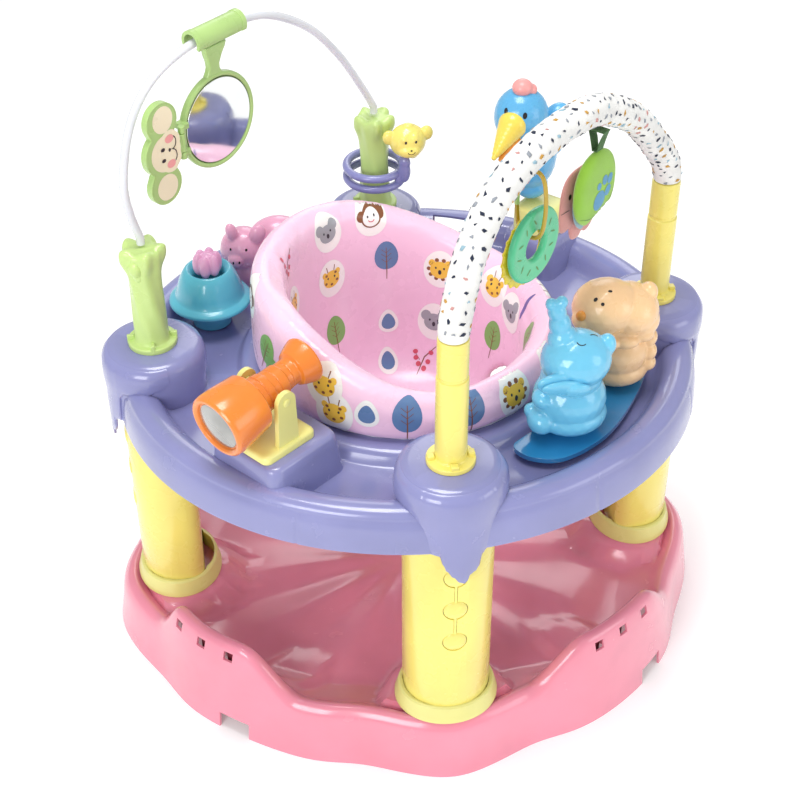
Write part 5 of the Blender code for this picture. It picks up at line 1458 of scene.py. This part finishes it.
def make_ring_and_monkey():
    """Double purple ring round the back stem and the yellow monkey head on it."""
    x, y, _turn = POSTS["back"]
    place = at(x, y, 0.0)
    turn = math.radians(-40.0)
    loops = []
    for k, height in enumerate((0.492, 0.4768)):
        loops.append(sweep(f"stem_loop_{k}", [place @ polar(0.0365, a,
            height + 0.0012 * math.sin(math.radians(a))) for a in range(0, 360, 5)], 0.0052, "violet",
            sides=20, closed=True))
    bridge = moulded("loop_bridge", [((0.038, 0.0, 0.4845), (0.0062, 0.009, 0.013)),
        ((0.0445, 0.0, 0.496), (0.009, 0.0072, 0.017)), ((0.045, 0.0, 0.508), (0.0085, 0.0068, 0.01))],
        "violet", place @ Matrix.Rotation(turn, 4, "Z"), 0.0012, 5)
    dress([*loops, bridge], "turning_ring")
    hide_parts("stem_ring")
    head_at = place @ Matrix.Translation((0.05 * math.cos(turn), 0.05 * math.sin(turn), 0.5406))
    head = moulded("monkey_head", [((0.0, 0.0, 0.0), (0.0235, 0.02, 0.0225)),
        ((-0.024, 0.0, 0.006), (0.0085, 0.006, 0.01)), ((0.024, 0.0, 0.009), (0.0085, 0.006, 0.01)),
        ((0.0, -0.01, -0.007), (0.016, 0.013, 0.011)), ((0.006, -0.009, 0.008), (0.008, 0.01, 0.009)),
        ((-0.006, -0.009, 0.008), (0.008, 0.01, 0.009)), ((0.0, -0.001, 0.0215), (0.007, 0.006, 0.003)),
        ((0.006, 0.0, -0.02), (0.007, 0.007, 0.005))], "yellow", head_at, 0.001, 6)
    look_way = Vector((0.15, -0.98, 0.1))
    marks = [(head_at @ Vector(p), look_way, shape) for p,
        shape in (((0.0075, -0.018, 0.0065), disc(0, 0, 0.0015, 0.002)),
        ((-0.0055, -0.018, 0.0065), disc(0, 0, 0.0015, 0.002)),
        ((0.001, -0.02, -0.0035), disc(0, 0, 0.0014, 0.001)),
        ((0.001, -0.02, -0.006), stroke(arc(0, 0.004, 0.006, 0.0065, 215.0, 325.0, 12), 0.0009)))]
    face = painted("monkey_head_face", head, marks, "black", 0.0002)
    dress([head, face], "turning_ring")
    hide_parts("ring_monkey")


# ---------------------------------------------------------------- hanging toys
def make_hanging_toys():
    """Leaf plush on its strap, fish layer behind it, link, teether and bead ring."""
    leaf_point, _along = on_arch(SLEEVE_PATH, POSTS["front"], LEAF_SPAN)
    link_point, _along = on_arch(SLEEVE_PATH, POSTS["front"], LINK_SPAN)
    turned = Matrix.Rotation(ARCH_TURN, 4, "Z")
    leaf = Matrix.Translation(leaf_point) @ turned
    top, low = -0.0216, -0.046
    rows = [(0.01 * share, top) for share in (-1.0, -0.5, 0.0, 0.5, 1.0)]
    right = [(0.01 - 0.007 * (k / 6) ** 0.8, top + (low - top) * k / 6) for k in range(1, 7)]
    left = [(-x, z) for x, z in right]
    loop = rows + right + left[::-1]
    count = len(loop)
    verts, faces = [], []
    centre = Vector((0.0, (top + low) / 2))
    for side in (0, 1):
        for edge in (-0.006, -0.003, 0.0, 0.003, 0.006):
            for x, z in loop:
                inward = (centre - Vector((x, z))).normalized() * (0.0012 if side else 0.0)
                verts.append(leaf @ Vector((edge, x + inward.x, z + inward.y)))
    for side in (0, 1):
        base = side * 5 * count
        for row in range(4):
            for k in range(count):
                a, b = base + row * count + k, base + row * count + (k + 1) % count
                faces.append((a, b, b + count, a + count))
    for row in (0, 4):
        for k in range(count):
            a, b = row * count + k, row * count + (k + 1) % count
            faces.append((a, b, b + 5 * count, a + 5 * count))
    strap = shown("strap_band", mesh_from("strap_band", verts, faces), "strap", None, 40.0)
    dress(strap, "leaf_toy")
    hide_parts("leaf_strap")

    place = leaf @ Matrix.Translation((0.0, 0.0, -0.094))
    body = cushion("leaf_cushion", 0.0365, 0.043, 0.0078, "plush",
        place @ Matrix.Translation((0.0, 0.0, 0.0035)), leaf_shape)
    under = cushion("leaf_under", 0.034, 0.043, 0.003, "plush_grey",
        place @ Matrix.Translation((0.001, 0.0042, -0.0035)), leaf_shape)
    out = place.to_3x3() @ Vector((0, -1, 0))
    paws = [(place @ Vector((px, -0.006, pz)), out, disc(0, 0, rx, ry, 20, turn))
        for px, pz, rx, ry, turn in ((-0.001, -0.0095, 0.0105, 0.0115, -20),
        (0.0145, -0.003, 0.0052, 0.0066, -30), (0.0175, 0.01, 0.0048, 0.0062, -20),
        (0.0075, 0.012, 0.0048, 0.006, 10), (-0.003, 0.008, 0.0038, 0.0046, 20))]
    paws_piece = painted("leaf_paws", body, paws, "plush_blue", 0.0004)
    seam = painted("leaf_seam", body, [(place @ Vector((0, -0.004, 0)), out,
        stroke([(-0.029, -0.0225), (-0.018, -0.026), (-0.004, -0.027), (0.01, -0.0235), (0.022, -0.0155),
        (0.031, -0.005)], 0.0009))], "dark_green", 0.0004)
    dress([body, under, paws_piece, seam], "leaf_toy")
    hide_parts("leaf_plush")

    fish_at = place @ Matrix.Translation((-0.0075, 0.0135, -0.0165))
    fish = cushion("fish_cushion", 0.037, 0.0455, 0.0038, "plush_rose", fish_at, fish_shape)
    fish_marks = painted("fish_marks", fish, [(fish_at @ Vector((-0.0235, -0.003, 0.018)), out,
        disc(0, 0, 0.0024, 0.0034)), (fish_at @ Vector((-0.029, -0.003, 0.001)), out,
        stroke([(-0.006, 0.0), (0.0, 0.0012), (0.006, 0.0012)], 0.001))], "black", 0.0004)
    dress([fish, fish_marks], "leaf_toy")
    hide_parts("fish_tag")

    drop = Matrix.Translation(link_point) @ turned
    link_top, link_low = -0.021, TEETHER_Z - link_point.z + 0.0068
    mid = (link_top + link_low) / 2
    route = smooth_path([(0.0, 0.0, link_top), (0.0, 0.01, link_top - 0.0035),
        (0.0, 0.0155, link_top - 0.015), (0.0, 0.0175, mid), (0.0, 0.0155, link_low + 0.015),
        (0.0, 0.01, link_low + 0.0035), (0.0, 0.0, link_low), (0.0, -0.01, link_low + 0.0035),
        (0.0, -0.0155, link_low + 0.015), (0.0, -0.0175, mid), (0.0, -0.0155, link_top - 0.015),
        (0.0, -0.01, link_top - 0.0035), (0.0, 0.0, link_top)], 4)[:-1]
    link = sweep("toy_link", [drop @ p for p in route], 0.0023, "gold", sides=16, closed=True)
    clasp = sweep("link_clasp", [drop @ p for p in route if p.y > 0.012 and p.z > mid - 0.012], 0.0027,
        "leaf_green", sides=16)
    dress([link, clasp], "link")
    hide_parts("link_loop")

    centre = drop @ Matrix.Translation((0.0, 0.0, TEETHER_Z - link_point.z))
    ring_at = centre @ Matrix.Translation((0.0, -0.0052, 0.0)) @ UPRIGHT
    teether = lathe("teether_disc", [(0.0388, 0.004), (0.0408, 0.0032), (0.0419, 0.0016), (0.042, 0.0),
        (0.0419, -0.0016), (0.0408, -0.0032), (0.0388, -0.004), (0.035, -0.0036), (0.023, -0.0036),
        (0.0195, -0.004), (0.0172, -0.003), (0.0161, -0.001), (0.0161, 0.001), (0.0172, 0.003),
        (0.0195, 0.004), (0.023, 0.0036), (0.035, 0.0036)], "teether", ring_at, 96)
    dashes = []
    for k in range(12):
        angle = math.radians(30 * k + 8)
        point = ring_at @ Vector((0.0292 * math.cos(angle), 0.0292 * math.sin(angle), 0.0036))
        lean = math.degrees(angle) + (28 if k % 2 else -28)
        dashes.append((point, ring_at.to_3x3() @ UP, disc(0, 0, 0.0042, 0.001, 12, lean)))
    dash_piece = painted("teether_dashes", teether, dashes, "dark_green", 0.0002)
    dress([teether, dash_piece], "teether")
    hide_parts("teether_ring")

    bead_at = centre @ Matrix.Translation((0.0, 0.0042, -0.01)) @ UPRIGHT
    rings = []
    for angle in turns(240):
        bump = 0.0022 * max(0.0, math.cos(20 * angle)) - 0.0006
        ring = []
        for t in turns(16):
            radius = 0.0325 + (0.0085 + bump * (1 if math.cos(t) > 0 else 0.2)) * math.cos(t)
            ring.append(Vector((radius * math.cos(angle), radius * math.sin(angle), 0.0029 * math.sin(t))))
        rings.append(ring)
    bead = shown("bead_hoop", loft_mesh("bead_hoop", rings, looped=True), "bead", bead_at, 60.0)
    dress(bead, "beads")
    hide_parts("bead_ring")


def leaf_shape(angle):
    """Reach of the leaf: a dome above, a slanting flat edge below, by angle in radians."""
    cos, sin = math.cos(angle), math.sin(angle)
    reach = 1.0 / ((abs(cos) ** 2.2 + abs(sin) ** 2.2) ** (1 / 2.2))
    slant = 0.8
    along = sin - 0.24 * cos
    if along < 0:
        reach = min(reach, slant / -along * (1.0 + 0.02 * math.sin(9 * cos * 3)))
    return reach


def fish_shape(angle):
    """Reach of the fish: blunt head at the upper left, tail at the lower right."""
    cos, sin = math.cos(angle), math.sin(angle)
    reach = 1.0 / ((abs(cos) ** 3.2 + abs(sin) ** 3.2) ** (1 / 3.2))
    turn = math.degrees(angle) % 360.0
    waist = math.exp(-(((turn - 232.0) / 16.0) ** 2)) * 0.36
    notch = math.exp(-(((turn - 285.0) / 7.0) ** 2)) * 0.12
    return reach * (0.97 - waist - notch)


def cushion(name, half_width, half_height, half_depth, look, place, shape, count=96, rows=14):
    """A flat stuffed cushion with a seam edge, its outline set by a shape rule."""
    rings = []
    reaches = [shape(angle) for angle in turns(count)]
    for row in range(-rows, rows + 1):
        share = row / rows
        size = math.cos(share * math.pi / 2 * 0.985) ** 0.42 if abs(share) < 1 else 0.06
        ring = []
        for angle, widest in zip(turns(count), reaches):
            reach = widest * size
            ring.append(Vector((half_width * reach * math.cos(angle),
                half_depth * math.sin(share * math.pi / 2), half_height * reach * math.sin(angle))))
        rings.append(ring)
    return shown(name, loft_mesh(name, rings), look, place, 180.0)


# ---------------------------------------------------------------- tray toys
def make_telescope():
    """Orange telescope on its pale yoke."""
    yoke = at(-0.184, -0.184, 0.0, SCOPE_TURN)
    low, high = PLATFORM_TOP + 0.0003, 0.434
    levels = ((0.0, low), (0.0, high - 0.0035), (-0.0008, high - 0.0016), (-0.0026, high - 0.0004),
        (-0.006, high))
    plate = square_stack("yoke_plate", 0.037, 0.008, levels, "pale", yoke, 50.0)
    pivot_z = 0.487
    ears = []
    for side in (-1, 1):
        ear_outline = [(-0.015, high - 0.004), (0.015, high - 0.004), (0.014, high + 0.01)] + arc(0.0,
            pivot_z, 0.0125, 0.0125, 0.0, 180.0, 24) + [(-0.014, high + 0.01)]
        ears.append(prism(f"yoke_ear_{side + 1}", ear_outline, 0.006, "pale",
            yoke @ Matrix.Translation((0.0, side * 0.03, 0.0)) @ UPRIGHT, 0.0018,
            holes=(ring_outline(0.0045, count=24, y=pivot_z),)))
    across = yoke @ Matrix.Translation((0.0, 0.0, pivot_z)) @ UPRIGHT
    pin = lathe("yoke_pin", [(0.0, 0.0345), (0.003, 0.0344), (0.0044, 0.0338), (0.0048, 0.0332),
        (0.0041, 0.0328), (0.0041, -0.0328), (0.0048, -0.0332), (0.0044, -0.0338), (0.003, -0.0344),
        (0.0, -0.0345)], "pale", across, 32)
    dress([plate, *ears, pin], "tray")
    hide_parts("scope_bracket")
    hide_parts("scope_pin")
    barrel_at = yoke @ Matrix.Translation((0.0, 0.0, pivot_z)) @ Matrix.Rotation(math.radians(82.0), 4, "Y")
    profile = [(0.0, 0.056), (0.0205, 0.056), (0.0215, 0.06), (0.0235, 0.0613), (0.0262, 0.0606),
        (0.027, 0.058), (0.0262, 0.0545), (0.0225, 0.045), (0.02, 0.04), (0.0165, 0.038), (0.016, 0.0372),
        (0.016, 0.03), (0.0154, 0.0295), (0.0154, 0.0287), (0.0163, 0.0282), (0.0165, 0.022),
        (0.0182, 0.0205), (0.0184, 0.011), (0.0178, 0.0105), (0.0178, 0.0097), (0.0187, 0.0092),
        (0.019, 0.002), (0.0206, 0.0000), (0.0215, -0.008), (0.0208, -0.0086), (0.0208, -0.0094),
        (0.0219, -0.01), (0.0232, -0.0175), (0.031, -0.02), (0.0335, -0.0225), (0.0362, -0.048),
        (0.037, -0.064), (0.0362, -0.0695), (0.034, -0.0718), (0.0312, -0.0718), (0.029, -0.07),
        (0.0282, -0.067), (0.0, -0.067)]
    barrel = lathe("telescope_tube", profile, "orange", barrel_at, 96)
    dress(barrel, "telescope")
    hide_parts("scope_barrel")
    lens = lathe("telescope_glass", [(0.0, -0.0705), (0.009, -0.0703), (0.018, -0.0697), (0.0245, -0.0687),
        (0.027, -0.068), (0.027, -0.0672), (0.0, -0.0672)], "lens", barrel_at, 72)
    dress(lens, "telescope")
    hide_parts("scope_lens")


def make_flower_pot():
    """Teal bell-shaped pot with its brim, and the pink bud in its mouth."""
    place = at(-0.228, 0.118, 0.0)
    profile = [(0.0235, 0.4518), (0.0262, 0.453), (0.0292, 0.4512), (0.033, 0.445), (0.0368, 0.436),
        (0.0396, 0.426), (0.041, 0.419), (0.0428, 0.416), (0.0472, 0.4136), (0.05, 0.4112),
        (0.0507, 0.4085), (0.0498, 0.4066), (0.047, 0.406), (0.024, 0.4036), (0.024, 0.3756),
        (0.0165, 0.3756), (0.0165, 0.44), (0.0195, 0.447)]
    pot = lathe("pot_bell", profile, "teal", place, 96)
    dress(pot, "tray")
    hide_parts("flower_pot")
    lumps = [((0.0, 0.0, 0.46), (0.011, 0.011, 0.013))]
    for k in range(6):
        angle = math.radians(60 * k + 12)
        lumps.append(((0.0112 * math.cos(angle), 0.0112 * math.sin(angle), 0.459 + 0.001 * (k % 2)),
            (0.0072, 0.0072, 0.015)))
    bud = moulded("bud_petals", lumps, "petal", place, 0.0008, 3)
    dress(bud, "flower")
    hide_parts("flower_bud")


def make_pig():
    """Pink pig resting behind the pot."""
    place = at(-0.18, 0.19, TRAY_TROUGH + 0.002)
    lumps = [((0.0, 0.0, 0.05), (0.0265, 0.024, 0.0255)), ((0.04, 0.014, 0.05), (0.034, 0.024, 0.0275)),
        ((0.012, -0.004, 0.022), (0.023, 0.02, 0.0215)), ((0.04, 0.006, 0.022), (0.025, 0.02, 0.0215)),
        ((-0.012, -0.009, 0.076), (0.007, 0.0058, 0.0125), (0, -14, 0)),
        ((0.016, -0.013, 0.074), (0.0095, 0.0062, 0.012), (0, 18, 0)),
        ((-0.01, -0.02, 0.046), (0.0095, 0.007, 0.008)), ((0.06, -0.002, 0.06), (0.012, 0.011, 0.012)),
        ((0.024, -0.016, 0.036), (0.01, 0.01, 0.012))]
    lumps = [(tuple(PIG_SIZE * v for v in centre), tuple(PIG_SIZE * v for v in radii), *turn)
        for centre, radii, *turn in lumps]
    pig = moulded("pig_body", lumps, "rose", place, 0.0014, 6)
    out = Vector((-0.35, -0.92, 0.15))
    marks = painted("pig_marks", pig, [(place @ Vector((-0.015, -0.029, 0.0526)), out,
        disc(0, 0, 0.0011, 0.0018)), (place @ Vector((-0.008, -0.03, 0.0526)), out,
        disc(0, 0, 0.0011, 0.0018)), (place @ Vector((-0.018, -0.022, 0.0672)), out,
        disc(0, 0, 0.0014, 0.0018)), (place @ Vector((0.002, -0.025, 0.0672)), out,
        disc(0, 0, 0.0014, 0.0018))], "black", 0.0002)
    dress([pig, marks], "tray")
    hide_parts("pink_pig")


def tapered(start, end, first, last, flat=1.0, count=9):
    """Lumps along a line whose size falls evenly from its first radius to its last."""
    lumps = []
    for k in range(count):
        share = k / (count - 1)
        radius = first + (last - first) * share
        centre = Vector(start).lerp(Vector(end), share)
        lumps.append((tuple(centre), (radius, radius, radius * flat)))
    return lumps


def make_bird():
    """Blue bird with crest, beak and belly on its pale box."""
    x, y, turn = PERCH
    low, high = PLATFORM_TOP + 0.0003, PLATFORM_TOP + 0.0363
    levels = ((0.0, low), (0.0, high - 0.006), (-0.0012, high - 0.0025), (-0.004, high - 0.0006),
        (-0.009, high))
    perch = square_stack("perch_box", 0.028, 0.009, levels, "pale", at(x, y, 0.0, turn), 50.0)
    dress(perch, "tray")
    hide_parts("bird_box")
    place = at(x - 0.012, y + 0.008, PLATFORM_TOP + 0.0006 + 0.036 + 0.0003)
    body = moulded("bird_body", [((-0.019, 0.0, 0.121), (0.0345, 0.033, 0.038)),
        ((-0.004, 0.008, 0.062), (0.035, 0.034, 0.048)), ((-0.012, 0.002, 0.095), (0.03, 0.029, 0.03)),
        ((0.0, 0.008, 0.02), (0.022, 0.022, 0.0195)), ((0.031, 0.016, 0.102), (0.019, 0.016, 0.025),
        (0, 18, 0)), ((0.028, 0.014, 0.076), (0.013, 0.016, 0.02))], "bird", place, 0.0013, 6)
    crest = moulded("bird_crest", [((-0.02, -0.003, 0.161), (0.013, 0.0125, 0.011)),
        ((-0.009, -0.002, 0.157), (0.008, 0.008, 0.0075))], "cheek", place, 0.001, 4)
    beak = moulded("bird_beak", tapered((-0.034, -0.02, 0.121), (-0.062, -0.044, 0.09), 0.0185, 0.0035),
        "beak", place, 0.001, 4)
    jaw = moulded("bird_jaw", tapered((-0.032, -0.022, 0.1), (-0.052, -0.038, 0.083), 0.0135, 0.0035, 0.55),
        "amber", place, 0.0009, 4)
    belly = moulded("bird_belly", [((-0.024, -0.01, 0.066), (0.0215, 0.019, 0.03)),
        ((-0.028, -0.016, 0.08), (0.0165, 0.013, 0.015)), ((-0.028, -0.012, 0.04), (0.015, 0.014, 0.014)),
        ((-0.038, -0.012, 0.03), (0.01, 0.01, 0.009))], "beak", place, 0.0012, 5)
    out = Vector((-0.4, -0.88, 0.25))
    eyes = painted("bird_eyes", body, [(place @ Vector((-0.044, -0.02, 0.139)), out,
        disc(0, 0, 0.0024, 0.004)), (place @ Vector((-0.023, -0.032, 0.137)), out,
        disc(0, 0, 0.0026, 0.004))], "black", 0.0003)
    dress([body, crest, beak, jaw, belly, eyes], "bird")
    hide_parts("blue_bird")


def make_pond_animals():
    """Glossy pond with the seated elephant and lion."""
    outline = [(p.x, p.y) for p in smooth_path([(0.084, -0.202, 0.0), (0.1, -0.224, 0.0),
        (0.138, -0.229, 0.0), (0.196, -0.194, 0.0), (0.25, -0.124, 0.0), (0.272, -0.074, 0.0),
        (0.252, -0.054, 0.0), (0.206, -0.066, 0.0), (0.182, -0.116, 0.0), (0.136, -0.162, 0.0),
        (0.1, -0.186, 0.0)], 8, closed=True)]
    pond = prism("pond_water", outline, 0.006, "pond", at(0.0, 0.0, TRAY_TROUGH + 0.0115), 0.0016)
    dress(pond, "tray")
    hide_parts("pond_plate")
    foot = TRAY_TROUGH + 0.0148
    place = at(0.151, -0.176, foot)
    elephant = moulded("elephant_body", [((0.0, 0.0, 0.042), (0.0415, 0.0385, 0.037)),
        ((0.001, 0.0, 0.022), (0.0425, 0.0395, 0.022)), ((0.003, -0.004, 0.096), (0.0395, 0.0355, 0.033)),
        ((0.000, -0.002, 0.072), (0.035, 0.031, 0.025)), ((-0.012, 0.001, 0.12), (0.017, 0.016, 0.018)),
        ((-0.016, 0.002, 0.138), (0.0125, 0.012, 0.018), (0, -10, 0)),
        ((-0.02, 0.003, 0.155), (0.0105, 0.0105, 0.015), (0, -14, 0)),
        ((-0.027, 0.003, 0.165), (0.0065, 0.0075, 0.007)), ((-0.015, 0.003, 0.167),
        (0.0065, 0.0075, 0.0065)), ((-0.019, -0.029, 0.083), (0.03, 0.008, 0.016), (18, 14, 12)),
        ((0.037, -0.003, 0.11), (0.01, 0.011, 0.013)), ((-0.033, -0.012, 0.052), (0.013, 0.014, 0.011)),
        ((-0.034, -0.014, 0.024), (0.0165, 0.019, 0.016)), ((-0.044, -0.004, 0.03), (0.008, 0.01, 0.008))],
        "sky", place, 0.0013, 5)
    flap = moulded("elephant_ear", [((-0.017, -0.037, 0.082), (0.028, 0.005, 0.013), (22, 12, 10)),
        ((-0.002, -0.039, 0.078), (0.015, 0.005, 0.012), (22, 12, 10))], "sky", place, 0.0011, 5)
    out = Vector((-0.1, -0.62, 0.78))
    marks = painted("elephant_marks", elephant, [(place @ Vector((0.004, -0.016, 0.125)), out,
        stroke(arc(0, 0, 0.005, 0.004, 180.0, 330.0, 10), 0.0011)),
        (place @ Vector((0.02, -0.008, 0.125)), out, stroke(arc(0, 0, 0.005, 0.003, 30.0, 150.0, 10),
        0.0011))], "black", 0.0003)
    dress([elephant, flap, marks], "elephant")
    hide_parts("elephant")
    place = at(0.224, -0.099, foot)
    lion = moulded("lion_body", [((0.003, 0.0, 0.044), (0.037, 0.0355, 0.038)),
        ((0.004, 0.0, 0.021), (0.0375, 0.0355, 0.021)), ((-0.016, -0.004, 0.106), (0.0395, 0.035, 0.033)),
        ((0.002, -0.001, 0.078), (0.032, 0.031, 0.022)), ((-0.046, -0.014, 0.099), (0.012, 0.013, 0.012)),
        ((0.012, -0.002, 0.099), (0.034, 0.036, 0.03)), ((0.022, -0.006, 0.088), (0.025, 0.027, 0.02)),
        ((0.034, 0.000, 0.118), (0.01, 0.012, 0.012)), ((0.024, -0.022, 0.077), (0.014, 0.011, 0.01)),
        ((0.004, -0.029, 0.073), (0.015, 0.01, 0.0085)), ((-0.016, -0.029, 0.073), (0.014, 0.01, 0.0085)),
        ((-0.036, -0.021, 0.08), (0.012, 0.01, 0.009)), ((0.036, -0.01, 0.062), (0.01, 0.011, 0.012),
        (0, 20, 0)), ((0.037, -0.012, 0.044), (0.0095, 0.011, 0.012), (0, 12, 0)),
        ((0.036, -0.012, 0.029), (0.011, 0.012, 0.01))], "peach", place, 0.0013, 4)
    nose = moulded("lion_nose", [((-0.05, -0.022, 0.109), (0.0062, 0.005, 0.0068), (10, 0, -20))], "amber",
        place, 0.0008, 2)
    marks = painted("lion_marks", lion, [(place @ Vector((-0.036, -0.024, 0.132)),
        Vector((-0.35, -0.55, 0.75)), disc(0, 0, 0.002, 0.0027, 16, -30)),
        (place @ Vector((-0.028, -0.028, 0.126)), Vector((-0.25, -0.6, 0.75)), disc(0, 0, 0.002, 0.002)),
        (place @ Vector((-0.018, -0.02, 0.139)), Vector((-0.1, -0.5, 0.85)), disc(0, 0, 0.0024, 0.0016))],
        "black", 0.0003)
    dress([lion, nose, marks], "lion")
    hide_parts("lion")


# ---------------------------------------------------------------- floor and assembly
def make_floor():
    """Pale ground for the render."""
    verts = [(-6.0, -6.0, 0.0), (6.0, -6.0, 0.0), (6.0, 6.0, 0.0), (-6.0, 6.0, 0.0)]
    made, tree, shader, coords = new_material("pale_ground")
    tone = noise_node(tree, coords, 1.5, 2.0)
    tree.links.new(mix_colour(tree, remap(tree, tone, 0.3, 0.7, 0.0, 1.0), (0.93, 0.93, 0.93, 1),
        (0.96, 0.96, 0.96, 1)), shader.inputs["Base Color"])
    tree.links.new(bump(tree, noise_node(tree, coords, 60.0, 2.0), 0.05, 0.0005), shader.inputs["Normal"])
    shader.inputs["Roughness"].default_value = 0.6
    shader.inputs["Emission Color"].default_value = (1.0, 1.0, 1.0, 1.0)
    shader.inputs["Emission Strength"].default_value = 0.18
    M["ground"] = made
    shown("ground", mesh_from("ground", verts, [(0, 1, 2, 3)]), "ground", None, 180.0)


make_floor()
make_base()
for post_name in POSTS:
    make_leg(post_name)
    make_spring(post_name)
make_tray()
make_seat()
for stem_name in ("left", "back"):
    make_trunk(stem_name)
make_posts()
make_sleeve()
make_wire_arch()
make_ring_and_monkey()
make_hanging_toys()
make_telescope()
make_flower_pot()
make_pig()
make_bird()
make_pond_animals()
